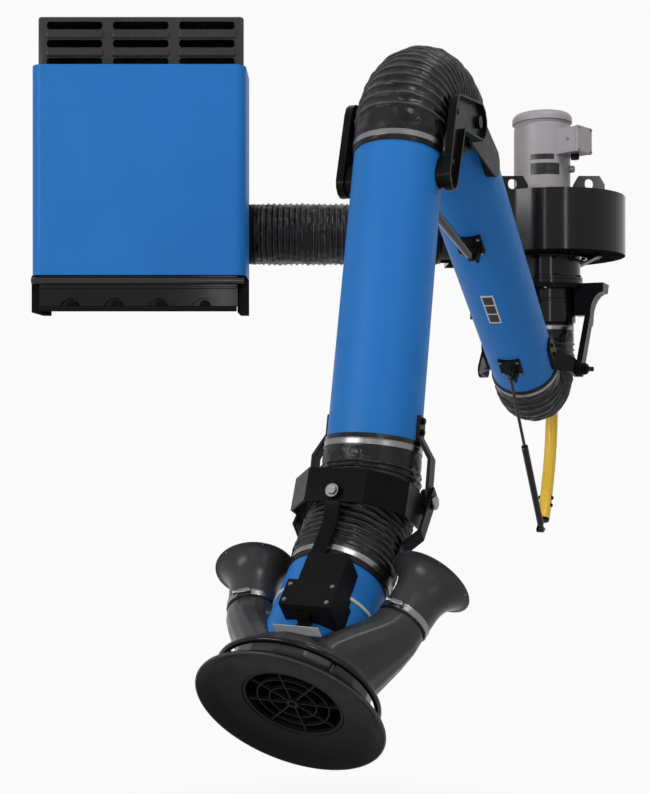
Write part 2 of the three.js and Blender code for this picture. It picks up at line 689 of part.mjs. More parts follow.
function swivel() {
  const top = INLET_BOTTOM - FIT;
  const collar = turned([
    [TUBE_R - 4, top + 34],
    [TUBE_R, top + 34],
    [TUBE_R, top],
    [inletR + 8, top],
    [inletR + 8, top - 14],
    [collarR, top - 14],
    [collarR, COLLAR_BOTTOM + FIT],
    [TUBE_R, COLLAR_BOTTOM + FIT],
    [TUBE_R, COLLAR_BOTTOM - TUBE_TUCK],
    [TUBE_R - 4, COLLAR_BOTTOM - TUBE_TUCK],
  ]);
  put(arm, 'swivel_collar', collar, BLACK);

  const ringTop = top - 14 - FIT;
  const ring = rod(yokeRingR, YOKE_RING_Z, ringTop, 24);
  const ear = rod(SUPPORT_R + 10, YOKE_RING_Z, ringTop).translate([supportU, 0, 0]);
  const finLow = YOKE_RING_Z - 90;
  const fin = [[collarR + 6, ringTop], [finReach, ringTop], [finReach - 2, ringTop - FIN_TIP]];
  for (let i = 1; i <= 6; i += 1) {
    const angle = rad(i * 15);
    const reach = finReach - 2 - cheekOut;
    fin.push([
      cheekOut + reach * (1 - Math.sin(angle)),
      finLow + (ringTop - FIN_TIP - finLow) * Math.cos(angle),
    ]);
  }
  fin.push([cheekOut, SHOULDER_Z - 30], [cheekIn, SHOULDER_Z - 30], [cheekIn, finLow]);
  fin.push([collarR + 6, finLow]);
  const post = prism(roundedOutline([[-44, ringTop, 6], [50, ringTop, 6], [10, finLow - 8, 30]]), 'y', 0, 300);
  const bar = prism(roundedOutline([[12, finLow, 24], [SHOULDER_U, SHOULDER_Z, 26]]), 'y', 0, 300);
  const side = prism(fin, 'x', -200, 400).intersect(post.add(bar));
  const barrel = rod(collarR + FIT, -400, 0);
  const pin = acrossW(rod(PIVOT_R, -cheekOut, -cheekIn + 12), SHOULDER_U, 0, SHOULDER_Z);
  const bolt = acrossW(rod(pivotHole, cheekIn - 5, cheekOut + 5), SHOULDER_U, 0, SHOULDER_Z);
  const yoke = cut(join(ring, ear, side, side.mirror([0, 1, 0])), barrel, bolt);
  put(arm, 'swivel_yoke', yoke.add(pin), BLACK);
  put(arm, 'collar_clamp', bandClamp(COLLAR_BOTTOM - CUFF / 2, 180), STEEL);

  const barEnd = [LOWER_ANCHOR_U - 26, LOWER_ANCHOR_Z + 34];
  const support = bent([
    [supportU, 0, YOKE_RING_Z - FIT],
    [supportU, 0, -430],
    [supportU - 4, 0, -620],
    [supportU + 22, 0, -760],
    [supportU + 76, 0, -890],
    [barEnd[0], 0, barEnd[1]],
  ], SUPPORT_R);
  const lean = rad(38);
  const plug = rod(SUPPORT_R - 1, 0, 12).rotate([0, 180 - 38, 0]);
  const plugAt = [barEnd[0] - 4 * Math.sin(lean), 0, barEnd[1] + 4 * Math.cos(lean)];
  const tab = prism(roundedOutline([
    [barEnd[0] + 6, barEnd[1] - 8, 7],
    [LOWER_ANCHOR_U, LOWER_ANCHOR_Z, 11],
  ]), 'y', -16, -9);
  const stud = acrossW(rod(ROD_R, -12, 12), LOWER_ANCHOR_U, 0, LOWER_ANCHOR_Z);
  const clear = acrossW(rod(13, -8.5, 8.5), LOWER_ANCHOR_U, 0, LOWER_ANCHOR_Z);
  put(arm, 'support_bar', join(cut(join(support, plug.translate(plugAt), tab), clear), stud), YELLOW);

  const knob = frameAt(arm, 'shoulder_knob_turn', [SHOULDER_U, 0, SHOULDER_Z]);
  const stem = rod(PIVOT_R, cheekIn - 14, cheekOut + 4);
  const hub = rod(19, cheekOut + FIT, cheekOut + 18);
  const wings = block(-40, 40, -8, 8, cheekOut + 6, cheekOut + 30);
  put(knob, 'shoulder_knob', laid(join(stem, hub, wings), 'y'), PLASTIC);
}

// Inner arm

function innerArm() {
  const [pivotX, pivotZ] = seen(shoulder, innerStart, innerDir);
  const [elbowX, elbowZ] = seen(elbow, innerStart, innerDir);
  const low = arm;
  const lowerHose = hose(LOWER_CORNER_DROP - lowerTangent, LOWER_BEND_R, lowerTurn, LOWER_STRAIGHT + CUFF, 14);
  put(low, 'shoulder_hose', lowerHose.rotate([0, 180, 0]).mirror([1, 0, 0]).translate([0, 0, COLLAR_BOTTOM]), RUBBER);
  put(inner, 'inner_clamp_low', bandClamp(-CUFF / 2, 180), STEEL);
  put(inner, 'inner_tube', pipe(TUBE_R - TUBE_WALL, TUBE_R, -TUBE_TUCK, INNER_LENGTH + TUBE_TUCK), BLUE);

  const plateOut = cheekIn - FIT;
  const bentStrap = [
    [TUBE_R - 12, 130],
    [TUBE_R + 7, 130],
    [TUBE_R + 7, 36],
    [plateOut, -22],
    [plateOut, pivotZ - 30],
    [plateOut - 8, pivotZ - 30],
    [plateOut - 8, -26],
    [TUBE_R + 3, 14],
    [TUBE_R - 12, 14],
  ];
  const outline = join(
    prism(roundedOutline([[0, 104, 26], [0, 30, 30]]), 'y', 0, 200),
    prism(roundedOutline([[0, 30, 30], [pivotX, pivotZ, 26]]), 'y', 0, 200),
  );
  const hole = acrossW(rod(pivotHole, 0, 200), pivotX, 0, pivotZ);
  const plate = cut(prism(bentStrap, 'x', -200, 200).intersect(outline), tubeHollow(-200, 300), hole);
  for (const [side, sign] of SIDES) put(inner, `shoulder_plate_${side}`, mirrored(plate, sign), BLACK);

  const pad = (z, w) => join(
    block(TUBE_R - 14, TUBE_R + 7, w - 33, w + 33, z - 14, z + 52),
    block(TUBE_R, studOff + 10, w + 12, w + 20, z - 12, z + 14),
  );
  const boss = (z, w) => acrossW(rod(PIVOT_R, w + 5 + FIT, w + 14), studOff, 0, z);
  const lowerPad = cut(pad(LOWER_STUD_Z, 0), tubeHollow(0, INNER_LENGTH)).add(boss(LOWER_STUD_Z, 0));
  put(inner, 'spring_plate_lower', lowerPad, BLACK);
  const pivotTab = block(TUBE_R, studOff + 10, UPPER_SPRING_W + 12, UPPER_SPRING_W + 20, UPPER_STUD_Z - 12, UPPER_STUD_Z + 14);
  const pivotPin = acrossW(rod(ROD_R, UPPER_SPRING_W - 10, UPPER_SPRING_W + 14), studOff, 0, UPPER_STUD_Z);
  const upperPad = join(
    block(TUBE_R - 24, TUBE_R + 7, UPPER_SPRING_W - 40, UPPER_SPRING_W + 30, UPPER_STUD_Z - 14, UPPER_STUD_Z + 52),
    pivotTab,
  );
  put(inner, 'spring_plate_upper', cut(upperPad, tubeHollow(0, INNER_LENGTH)).add(pivotPin), BLACK);

  const tongue = prism(roundedOutline([[40, INNER_LENGTH - 77, 38], [elbowX, elbowZ, LINK_EYE_R]]), 'y', crestR + 4, crestR + 10);
  const foot = prism(roundedOutline([[30, INNER_LENGTH - 100, 26], [30, INNER_LENGTH - 40, 26]]), 'y', TUBE_R - 20, crestR + 6);
  const elbowHole = acrossW(rod(pivotHole, 0, 200), elbowX, 0, elbowZ);
  const link = cut(tongue.add(foot), tubeHollow(INNER_LENGTH - 200, INNER_LENGTH + 60), elbowHole);
  for (const [side, sign] of SIDES) put(inner, `elbow_link_${side}`, mirrored(link, sign), BLACK);
  const bend = hose(CUFF, ELBOW_BEND_R, elbowTurn, CUFF, 18);
  put(inner, 'elbow_hose', bend.translate([0, 0, INNER_LENGTH]), RUBBER);
}

// Gas springs: a cylinder turning on its stud, with its rod sliding along z.

function gasSpring(parent, name, [fromX, fromZ], [toX, toZ], w, cylinder) {
  const length = Math.hypot(toX - fromX, toZ - fromZ);
  const lean = THREE.MathUtils.radToDeg(Math.atan2(toX - fromX, toZ - fromZ));
  const stand = frameAt(parent, `${name}_spring_turn`, [fromX, w, fromZ], 'y', lean);
  const eye = acrossW(rod(11, -7.5, 7.5, 16), 0, 0, 0);
  const stud = acrossW(rod(turning(ROD_R), -20, 20), 0, 0, 0);
  const bore = rod(turning(ROD_R), 30, cylinder + 5);
  const body = cut(join(eye, rod(7, 6, 26), rod(SPRING_R, 20, cylinder)), stud, bore);
  put(stand, `${name}_spring_cylinder`, body, BLACK);
  const slide = frameAt(stand, `${name}_spring_slide`, [0, 0, 0]);
  const tip = acrossW(rod(9, -5, 5, 16), 0, 0, length);
  put(slide, `${name}_spring_rod`, join(rod(ROD_R, cylinder - 150, length - 4), tip), STEEL);
}

// Outer arm

function outerArm() {
  const [elbowX, elbowZ] = seen(elbow, outerStart, outerDir);
  put(outer, 'outer_clamp_high', bandClamp(-CUFF / 2, 0), STEEL);
  put(outer, 'outer_tube', pipe(TUBE_R - TUBE_WALL, TUBE_R, -TUBE_TUCK, OUTER_LENGTH + TUBE_TUCK), BLUE);
  const inside = crestR + 10 + 0.5;
  const shape = (inset, from, to) => {
    const knee = [20, BRACKET_KNEE_Z, BRACKET_KNEE_R - inset];
    return join(
      prism(roundedOutline([[0, BRACKET_FOOT_Z, BRACKET_FOOT_R - inset], knee]), 'y', from, to),
      prism(roundedOutline([knee, [elbowX, elbowZ, BRACKET_EYE_R - inset]]), 'y', from, to),
    );
  };
  const blade = shape(0, inside, inside + BRACKET_RIM).subtract(shape(5, inside + 6, inside + 99));
  const foot = prism(roundedOutline([[0, BRACKET_FOOT_Z, 26], [4, BRACKET_FOOT_Z - 24, 26]]), 'y', TUBE_R - 18, inside + 3);
  const arch = cut(blade.add(foot), tubeHollow(-100, 300));
  const bolt = acrossW(
    join(rod(PIVOT_R, crestR + 2, inside + 8), rod(15, inside + 5, inside + 15)),
    elbowX,
    0,
    elbowZ,
  );
  for (const [side, sign] of SIDES) {
    put(outer, `elbow_bracket_${side}`, mirrored(arch.add(bolt), sign), BLACK);
  }
  const w = UPPER_SPRING_W;
  const anchor = cut(join(
    block(TUBE_R - 24, TUBE_R + 7, w - 40, w + 30, UPPER_ANCHOR_Z - 20, UPPER_ANCHOR_Z + 50),
    block(TUBE_R, studOff + 10, w + 12, w + 20, UPPER_ANCHOR_Z - 12, UPPER_ANCHOR_Z + 14),
  ), tubeHollow(-100, 300));
  const boss = acrossW(rod(PIVOT_R, w + 5 + FIT, w + 14), studOff, 0, UPPER_ANCHOR_Z);
  put(outer, 'spring_plate_outer', anchor.add(boss), BLACK);
  put(outer, 'outer_clamp_low', bandClamp(OUTER_LENGTH + CUFF / 2, 0), STEEL);

  const pivotZ = OUTER_LENGTH + WRIST_STRAIGHT + wristTangent;
  const bentStrap = [
    [TUBE_R - 8, OUTER_LENGTH - 56],
    [TUBE_R + 6, OUTER_LENGTH - 56],
    [TUBE_R + 6, OUTER_LENGTH - 12],
    [strapOut, OUTER_LENGTH + 34],
    [strapOut, pivotZ + 26],
    [strapIn, pivotZ + 26],
    [strapIn, OUTER_LENGTH + 38],
    [TUBE_R + 3, OUTER_LENGTH - 4],
    [TUBE_R - 8, OUTER_LENGTH - 4],
  ];
  const strapHole = acrossW(rod(pivotHole, 0, 200), 0, 0, pivotZ);
  const strap = cut(prism(bentStrap, 'x', -18, 18), tubeHollow(OUTER_LENGTH - 100, OUTER_LENGTH + 40), strapHole);
  for (const [side, sign] of SIDES) put(outer, `hood_strap_${side}`, mirrored(strap, sign), BLACK);
}

// Hood frame: a front bail and side straps that carry the neck, turning on the two strap bolts.

function hoodBail() {
  const wristHose = hose(WRIST_STRAIGHT, WRIST_BEND_R, wristTurn, WRIST_END, 20);
  put(outer, 'hood_hose', wristHose.mirror([1, 0, 0]).translate([0, 0, OUTER_LENGTH]), RUBBER);

  const half = (w) => {
    const f = bandFront - (bandIn + BAND_WALL - w);
    return [[28, w], [-bandIn + 14, w], [-f, w * 0.5], [-f, -w * 0.5], [-bandIn + 14, -w], [28, -w]];
  };
  const inside = half(bandIn).reverse();
  const wrap = prism([...half(bandIn + BAND_WALL), ...inside], 'z', BAND_TOP, BAND_BOTTOM);
  const eyes = acrossW(rod(28, -bandIn - BAND_WALL, bandIn + BAND_WALL), 0, 0, 0);
  const between = block(-99, 99, -bandIn, bandIn, -99, 99);
  const sideHole = acrossW(rod(pivotHole, -200, 200), 0, 0, 0);
  const tilt = (shape) => shape.rotate([0, BAND_TILT_DEG, 0]);
  const out = strapOut + 1;
  const foot = crestR + FIT;
  const bentStrap = [
    [out, -30],
    [out + 6, -30],
    [out + 6, NECK_TOP - 30],
    [foot + 6, NECK_TOP + 12],
    [foot + 6, NECK_TOP + 42],
    [foot, NECK_TOP + 42],
    [foot, NECK_TOP + 10],
    [out, NECK_TOP - 32],
  ];
  const strap = cut(prism(bentStrap, 'x', -17, 17), sideHole);
  const knob = frameAt(hoodFrame, 'hood_knob_turn', [0, 0, 0]);
  const stem = rod(PIVOT_R, bandIn - 4, out + 8);
  const grip = rod(15, out + 6 + FIT, out + 16, 16);
  put(knob, 'hood_knob', laid(join(stem, grip), 'y'), STEEL);
  const stud = laid(join(stem, rod(13, out + 5, out + 14, 16)), 'y');
  put(hoodFrame, 'neck_strap_right', strap, BLACK);
  put(hoodFrame, 'neck_strap_left', mirrored(strap.add(stud), -1), BLACK);

  put(hoodFrame, 'neck_clamp', bandClamp(neckStart - CUFF / 2, 0), STEEL);
  put(hoodFrame, 'neck_upper', pipe(TUBE_R - TUBE_WALL, TUBE_R, NECK_TOP, SEAM_S - 4), BLUE);
  put(hoodFrame, 'swivel_seal', pipe(TUBE_R - 4, TUBE_R + 3, SEAM_S - 4 + FIT, SEAM_S + 4 - FIT), PALE);

  const bolt = laid(rod(14, -bandFront - 12, -bandFront, 16), 'x', [0, 0, BAND_BOTTOM - 18.5]);
  const off = crestR + 6;
  const lean = rad(BAND_TILT_DEG);
  const tabX = (BAND_BOTTOM + 8) * Math.sin(lean) - bandFront * Math.cos(lean);
  const tabZ = (BAND_BOTTOM + 8) * Math.cos(lean) + bandFront * Math.sin(lean);
  const dropStrap = prism([
    [-off - 7, tabZ + 32],
    [tabX - 6, tabZ - 6],
    [tabX + 6, tabZ - 8],
    [-off, tabZ + 30],
    [-off, neckStart + 3],
    [-TUBE_R + 14, neckStart + 3],
    [-TUBE_R + 14, BOX_TOP - 5],
    [-off - 7, BOX_TOP - 5],
  ], 'y', -15, 15);
  const tab = block(-bandFront - 1, -bandFront + 4, -15, 15, BAND_BOTTOM - 3, BAND_BOTTOM + 14);
  const band = cut(join(wrap, eyes.subtract(between)), sideHole);
  const bail = join(tilt(join(band, bolt, tab)), dropStrap);
  put(hoodFrame, 'hood_bail', cut(bail, tubeHollow(0, NECK_END)), BLACK);
}

// Hood: neck, plenum with two horns, disc, grille and handle. z runs along the neck, -x is its front.

function hoodHead() {
  const neckHollow = tubeHollow(0, NECK_END + 40);
  const sealHollow = rod(turning(TUBE_R + 3), 0, SEAM_S + 4 + FIT);
  put(hood, 'neck_lower', pipe(TUBE_R - TUBE_WALL, TUBE_R, SEAM_S + 4, NECK_END - FIT), BLUE);

  const tilt = rad(HORN_TILT_DEG);
  const leg = lofted(Array.from({ length: 7 }, (_, i) => {
    const t = i / 6;
    const ease = t * t * (3 - 2 * t);
    const s = HORN_S + (NECK_END - 14 - HORN_S) * t;
    const lean = 90 * (1 - t) * Math.sin(tilt) * t;
    return {
      at: [0, hornW + (LEG_REACH - LEG_HALF_WIDTH - hornW) * ease - lean, s],
      halfX: HORN_NECK_R + (TUBE_R + LEG_SPREAD - HORN_NECK_R) * ease ** 0.7,
      halfY: HORN_NECK_R + (LEG_HALF_WIDTH - HORN_NECK_R) * ease,
      tiltDeg: HORN_TILT_DEG * (1 - ease),
    };
  }));
  const mouthFrame = (shape) => shape.rotate([180 + HORN_TILT_DEG, 0, 0]).translate([0, hornW, HORN_S]);
  const legBore = mouthFrame(rod(HORN_NECK_R - 4, -20, 10, 16));
  const skirt = turned([
    [TUBE_R - 10, NECK_END - 80],
    [TUBE_R + 8, NECK_END - 80],
    [TUBE_R + 34, NECK_END - 50],
    [TUBE_R + 34, NECK_END - FIT],
    [TUBE_R - 10, NECK_END - FIT],
  ]);
  const open = leg.subtract(legBore);
  const pastDisc = block(-300, 300, -300, 300, NECK_END - FIT, NECK_END + 100);
  const boxRoom = block(-2 * TUBE_R, 0, BOX_LEFT - 1, BOX_RIGHT + 1, BOX_TOP, BOX_BOTTOM + 1);
  const plenum = cut(join(skirt, open, open.mirror([0, 1, 0])), neckHollow, sealHollow, pastDisc, boxRoom);
  put(hood, 'plenum', plenum, PLASTIC);

  const bell = [];
  for (let i = 0; i <= 4; i += 1) {
    const t = i / 4;
    bell.push([HORN_NECK_R + (HORN_MOUTH_R - HORN_NECK_R) * t ** BELL_FLARE, 30 + (HORN_LENGTH - 34) * t]);
  }
  const wall = 3.5;
  const outside = [[HORN_NECK_R, FIT], ...bell, [HORN_MOUTH_R + 6, HORN_LENGTH - 4], [HORN_MOUTH_R + 6, HORN_LENGTH]];
  const insideLine = bell.map(([r, z]) => [r - wall, z + 4]).reverse();
  const horn = turned([...outside, ...insideLine, [HORN_NECK_R - wall, FIT]]);
  const ring = pipe(HORN_NECK_R + FIT, HORN_NECK_R + FIT + CLAMP_WALL, 2, 2 + CLAMP_WIDTH);
  const housing = block(HORN_NECK_R + 1, HORN_NECK_R + 10, -11, 11, 4, CLAMP_WIDTH).rotate([0, 0, 180]);
  for (const [side, sign] of SIDES) {
    put(hood, `horn_${side}`, mirrored(mouthFrame(horn), sign), PLASTIC);
    put(hood, `horn_clamp_${side}`, mirrored(mouthFrame(ring.add(housing)), sign), STEEL);
  }

  const box = join(
    block(-TUBE_R - BOX_DEPTH, -TUBE_R / 2, BOX_LEFT + 14, BOX_RIGHT - 4, BOX_TOP, BOX_STEP + 2),
    block(-TUBE_R - BOX_LOWER_DEPTH, -TUBE_R / 2, BOX_LEFT, BOX_RIGHT, BOX_STEP, BOX_BOTTOM),
  );
  put(hood, 'control_box', cut(box, neckHollow, sealHollow), PLASTIC);

  const disc = turned([
    [grilleR + FIT, NECK_END],
    [handleR - 2, NECK_END],
    [discR - 4, NECK_END + 17],
    [discR, NECK_END + 23],
    [discR - 5, NECK_END + 25],
    [handleR - 4, NECK_END + 6],
    [grilleR + FIT, NECK_END + 6],
  ], DISC_SIDES);
  put(hood, 'front_disc', disc, PLASTIC);

  const spokes = Array.from({ length: 8 }, (_, i) => {
    const spoke = block(6, grilleR - 3, -2, 2, NECK_END - 6, NECK_END + 2);
    return spoke.rotate([0, 0, i * 45]);
  });
  const rings = [[grilleR - 6, grilleR, DISC_SIDES], [68, 71, ROUND], [44, 47, ROUND]];
  const hoops = rings.map(([a, b, sides]) => pipe(a, b, NECK_END - 6, NECK_END + 2, sides));
  put(hood, 'intake_grille', join(rod(12, NECK_END - 6, NECK_END + 4), ...hoops, ...spokes), PLASTIC);

  const hoop = new THREE.TorusGeometry(handleR, HANDLE_TUBE_R, 8, 32);
  hoop.translate(0, 0, HANDLE_S);
  const posts = [45, 135, 225, 315].map((degrees) => {
    const post = rod(5.5, HANDLE_S, NECK_END - FIT, 12).translate([handleR - 7, 0, 0]);
    return post.rotate([0, 0, degrees]);
  });
  put(hood, 'ring_handle', join(solid(hoop), ...posts), BLACK);
}

cabinet();
duct();
blower();
swivel();
innerArm();
gasSpring(arm, 'lower', [LOWER_ANCHOR_U, LOWER_ANCHOR_Z], placed([studOff, LOWER_STUD_Z], innerStart, innerDir), 0, LOWER_CYLINDER);
const outerStud = placed([studOff, UPPER_ANCHOR_Z], outerStart, outerDir);
gasSpring(inner, 'upper', [studOff, UPPER_STUD_Z], seen(outerStud, innerStart, innerDir), UPPER_SPRING_W, UPPER_CYLINDER);
outerArm();
hoodBail();
hoodHead();

export default group;
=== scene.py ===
"""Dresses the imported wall-mounted fume extractor with finished shapes and materials."""

import json
from math import cos, hypot, pi, radians, sin, tan

import bpy
from mathutils import Matrix, Vector


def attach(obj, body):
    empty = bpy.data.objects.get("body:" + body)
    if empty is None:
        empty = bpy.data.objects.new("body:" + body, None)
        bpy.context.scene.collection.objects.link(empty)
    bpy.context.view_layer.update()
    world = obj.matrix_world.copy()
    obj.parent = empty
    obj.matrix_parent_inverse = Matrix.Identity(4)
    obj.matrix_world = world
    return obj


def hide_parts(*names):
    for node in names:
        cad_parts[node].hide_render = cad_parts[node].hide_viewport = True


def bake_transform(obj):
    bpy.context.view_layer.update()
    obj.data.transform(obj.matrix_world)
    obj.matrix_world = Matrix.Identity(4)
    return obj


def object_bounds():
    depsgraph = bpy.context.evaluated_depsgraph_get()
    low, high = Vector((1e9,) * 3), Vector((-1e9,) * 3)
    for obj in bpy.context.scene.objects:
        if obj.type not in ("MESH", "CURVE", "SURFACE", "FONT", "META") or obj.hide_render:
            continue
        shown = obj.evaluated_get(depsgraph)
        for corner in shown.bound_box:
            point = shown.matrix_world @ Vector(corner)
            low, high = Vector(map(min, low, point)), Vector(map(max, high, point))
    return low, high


bl_info = {
    "name": "Fume extractor dressing",
    "version": (1, 0, 0),
    "blender": (4, 5, 0),
    "location": "View3D > Sidebar > Extractor",
    "description": "Builds the finished pieces of a wall-mounted fume extractor on its packed frame",
    "category": "Object",
}

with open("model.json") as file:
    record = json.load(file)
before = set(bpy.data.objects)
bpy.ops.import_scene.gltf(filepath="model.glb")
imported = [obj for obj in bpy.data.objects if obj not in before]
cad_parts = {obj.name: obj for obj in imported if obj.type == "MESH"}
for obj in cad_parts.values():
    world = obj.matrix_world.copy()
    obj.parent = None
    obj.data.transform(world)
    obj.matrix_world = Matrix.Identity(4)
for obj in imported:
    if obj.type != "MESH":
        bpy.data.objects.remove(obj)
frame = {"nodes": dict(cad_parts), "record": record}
CAD_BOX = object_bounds()
BODY_OF = {node: body for body, nodes in frame["record"]["behaviour"]["bodies"].items() for node in nodes}

# The photo's camera, with its focal length and height in pixels
CAMERA_PLACE = (-0.736, -4.330, -0.560)
CAMERA_FOCAL = 1150
PHOTO_HEIGHT = 794
SENSOR = 36
FLOOR_DROP = 0.9

# The arm's pose and lengths in metres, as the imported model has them
FAN_Y = -0.43
ARM_LEFT = radians(23.8)
INNER_RISE = radians(35.8)
OUTER_LEAN = radians(13.5)
HOOD_DIP = radians(42)
COLLAR_BOTTOM = -0.312
CUFF = 0.035
PLAIN = 0.026
PLAIN_SHORT = 0.006
TUBE_TUCK = 0.030
CORNER_DROP = 0.331
LOWER_BEND = 0.118
LOWER_STRAIGHT = 0.045
INNER_LENGTH = 0.984
ELBOW_BEND = 0.208
OUTER_LENGTH = 0.655
WRIST_BEND = 0.257
WRIST_STRAIGHT = 0.047
WRIST_END = 0.158
NECK_TOP = 0.120
SEAM = 0.315
NECK_END = 0.505
HORN_SIDE = 0.158
HORN_DOWN = 0.312
HORN_TILT = radians(17)
BAIL_TILT = radians(25)
STUD_OFF = 0.130
SPRING_FOOT = (0.005, 0, -1.008)
DUCT_START = -1.005
DUCT_END = -0.330


def slide_along(place, way, length):
    return (place[0] + way[0] * length, place[1] + way[1] * length)


def shift(x, y, z):
    return Matrix.Translation((x, y, z))


def spun(angle, axis):
    return Matrix.Rotation(angle, 4, axis)


INNER_WAY = (cos(INNER_RISE), sin(INNER_RISE))
OUTER_WAY = (sin(OUTER_LEAN), -cos(OUTER_LEAN))
HOOD_WAY = (cos(HOOD_DIP), -sin(HOOD_DIP))
LOWER_TURN = pi / 2 + INNER_RISE
ELBOW_TURN = pi / 2 + INNER_RISE - OUTER_LEAN
WRIST_TURN = pi / 2 - OUTER_LEAN - HOOD_DIP
LOWER_TANGENT = LOWER_BEND * tan(LOWER_TURN / 2)
ELBOW_TANGENT = ELBOW_BEND * tan(ELBOW_TURN / 2) + CUFF
WRIST_TANGENT = WRIST_BEND * tan(WRIST_TURN / 2)
LOWER_CORNER = (0, COLLAR_BOTTOM - CORNER_DROP)
INNER_START = slide_along(LOWER_CORNER, INNER_WAY, LOWER_TANGENT + LOWER_STRAIGHT + CUFF)
INNER_END = slide_along(INNER_START, INNER_WAY, INNER_LENGTH)
OUTER_START = slide_along(slide_along(INNER_END, INNER_WAY, ELBOW_TANGENT), OUTER_WAY, ELBOW_TANGENT)
OUTER_END = slide_along(OUTER_START, OUTER_WAY, OUTER_LENGTH)
WRIST = slide_along(OUTER_END, OUTER_WAY, WRIST_STRAIGHT + WRIST_TANGENT)
NECK_START = WRIST_TANGENT + WRIST_END

BASE = Matrix.Identity(4)
LAID = spun(-pi / 2, "X")
SIDES = (("right", 1), ("left", -1))
ARM = shift(0, FAN_Y, 0) @ spun(-pi / 2 - ARM_LEFT, "Z")


def arm_frame(place, turn):
    return ARM @ shift(place[0], 0, place[1]) @ spun(turn, "Y")


INNER = arm_frame(INNER_START, pi / 2 - INNER_RISE)
OUTER = arm_frame(OUTER_START, pi - OUTER_LEAN)
HOOD = arm_frame(WRIST, pi / 2 + HOOD_DIP)
BLOWER = shift(0, FAN_Y, 0)
DUCT = shift(DUCT_START, -0.260, 0.015) @ spun(pi / 2, "Y")


# Settings a user would change


def length(label, words, default):
    return bpy.props.FloatProperty(
        name=label, description=words, default=default, min=0.0001, unit="LENGTH"
    )


def colour(label, words, default):
    return bpy.props.FloatVectorProperty(
        name=label, description=words, default=default, size=4, min=0, max=1, subtype="COLOR"
    )


class ExtractorSizes(bpy.types.PropertyGroup):
    """Sizes of the finished pieces."""

    tube_radius: length("Tube radius", "Outside radius of the arm's painted tubes", 0.1015)
    tube_wall: length("Tube wall", "Wall of the painted tubes", 0.0015)
    cuff_radius: length("Cuff radius", "Outside radius of a hose's plain cuff", 0.1046)
    crest_radius: length("Rib crest", "Radius over a hose's ribs", 0.1080)
    valley_radius: length("Rib valley", "Radius between a hose's ribs", 0.1031)
    clamp_width: length("Clamp width", "Width of a worm-drive band", 0.013)
    edge: length("Edge rounding", "Rounding of folded and cast edges", 0.0012)
    sides: bpy.props.IntProperty(
        name="Round sides", description="Sides of a turned piece", default=96, min=12
    )


class ExtractorColours(bpy.types.PropertyGroup):
    """Colours of the finishes."""

    blue: colour("Blue", "Powder coat on tubes and cabinet", (0.020, 0.172, 0.508, 1))
    black: colour("Black paint", "Satin paint on steelwork", (0.0055, 0.0055, 0.0059, 1))
    plastic: colour("Black plastic", "Moulded covers and disc", (0.0080, 0.0080, 0.0086, 1))
    shell: colour("Hood shell", "Moulded plenum and horns", (0.036, 0.036, 0.037, 1))
    rubber: colour("Hose", "Coated hose cloth", (0.0055, 0.0055, 0.0059, 1))
    grey: colour("Motor grey", "Motor enamel", (0.350, 0.325, 0.340, 1))
    steel: colour("Steel", "Bands and bolts", (0.190, 0.190, 0.196, 1))
    yellow: colour("Yellow", "Support bar enamel", (0.950, 0.600, 0.050, 1))
    pale: colour("Pale seal", "Nylon swivel seal", (0.560, 0.570, 0.580, 1))
    media: colour("Filter media", "Pleated filter paper", (0.640, 0.600, 0.500, 1))
    backdrop: colour("Backdrop", "Floor and surroundings", (0.955, 0.955, 0.958, 1))


def sizes():
    return bpy.context.scene.extractor_sizes


def colours():
    return bpy.context.scene.extractor_colours


# Finishes


def new_finish(name):
    made = bpy.data.materials.new(name + "_finish")
    made.use_nodes = True
    tree = made.node_tree
    return made, tree, tree.nodes["Principled BSDF"]


def added(tree, kind, values=()):
    """A new shader node with its constant inputs set."""
    node = tree.nodes.new("ShaderNode" + kind)
    for key, value in dict(values).items():
        node.inputs[key].default_value = value
    return node


def speckle(tree, scale, detail=3.0, rough=0.55, stretch=(1, 1, 1)):
    """A noise on object coordinates."""
    place = added(tree, "TexCoord")
    mapping = added(tree, "Mapping", {"Scale": stretch})
    noise = added(tree, "TexNoise", {"Scale": scale, "Detail": detail, "Roughness": rough})
    tree.links.new(place.outputs["Object"], mapping.inputs["Vector"])
    tree.links.new(mapping.outputs["Vector"], noise.inputs["Vector"])
    return noise.outputs["Fac"]


def spread(tree, source, low, high, start=0.3, stop=0.7):
    """Turns a noise into values between low and high."""
    limits = {"From Min": start, "From Max": stop, "To Min": low, "To Max": high}
    ranged = added(tree, "MapRange", limits)
    tree.links.new(source, ranged.inputs["Value"])
    return ranged.outputs["Result"]


def tinted(tree, source, shade, low, high):
    """The colour made darker and lighter by a noise."""
    mixed = added(tree, "Mix")
    mixed.data_type = "RGBA"
    mixed.inputs["A"].default_value = [c * low for c in shade[:3]] + [1]
    mixed.inputs["B"].default_value = [min(c * high, 1) for c in shade[:3]] + [1]
    tree.links.new(spread(tree, source, 0, 1), mixed.inputs["Factor"])
    return mixed.outputs["Result"]


def raised(tree, source, strength, distance):
    bump = added(tree, "Bump", {"Strength": strength, "Distance": distance})
    tree.links.new(source, bump.inputs["Height"])
    return bump.outputs["Normal"]


def coated(name, shade, rough, grain, depth, drift, index, metal=0.0):
    """A painted or moulded surface: slow drift of shade, changing gloss and a fine grain."""
    made, tree, shader = new_finish(name)
    slow = speckle(tree, 5.0, 4.0)
    tree.links.new(tinted(tree, slow, shade, *drift), shader.inputs["Base Color"])
    gloss = speckle(tree, 38.0, 3.0)
    tree.links.new(spread(tree, gloss, rough * 0.86, rough * 1.16), shader.inputs["Roughness"])
    tree.links.new(raised(tree, speckle(tree, grain, 2.0), 0.5, depth), shader.inputs["Normal"])
    shader.inputs["IOR"].default_value = index
    shader.inputs["Metallic"].default_value = metal
    return made


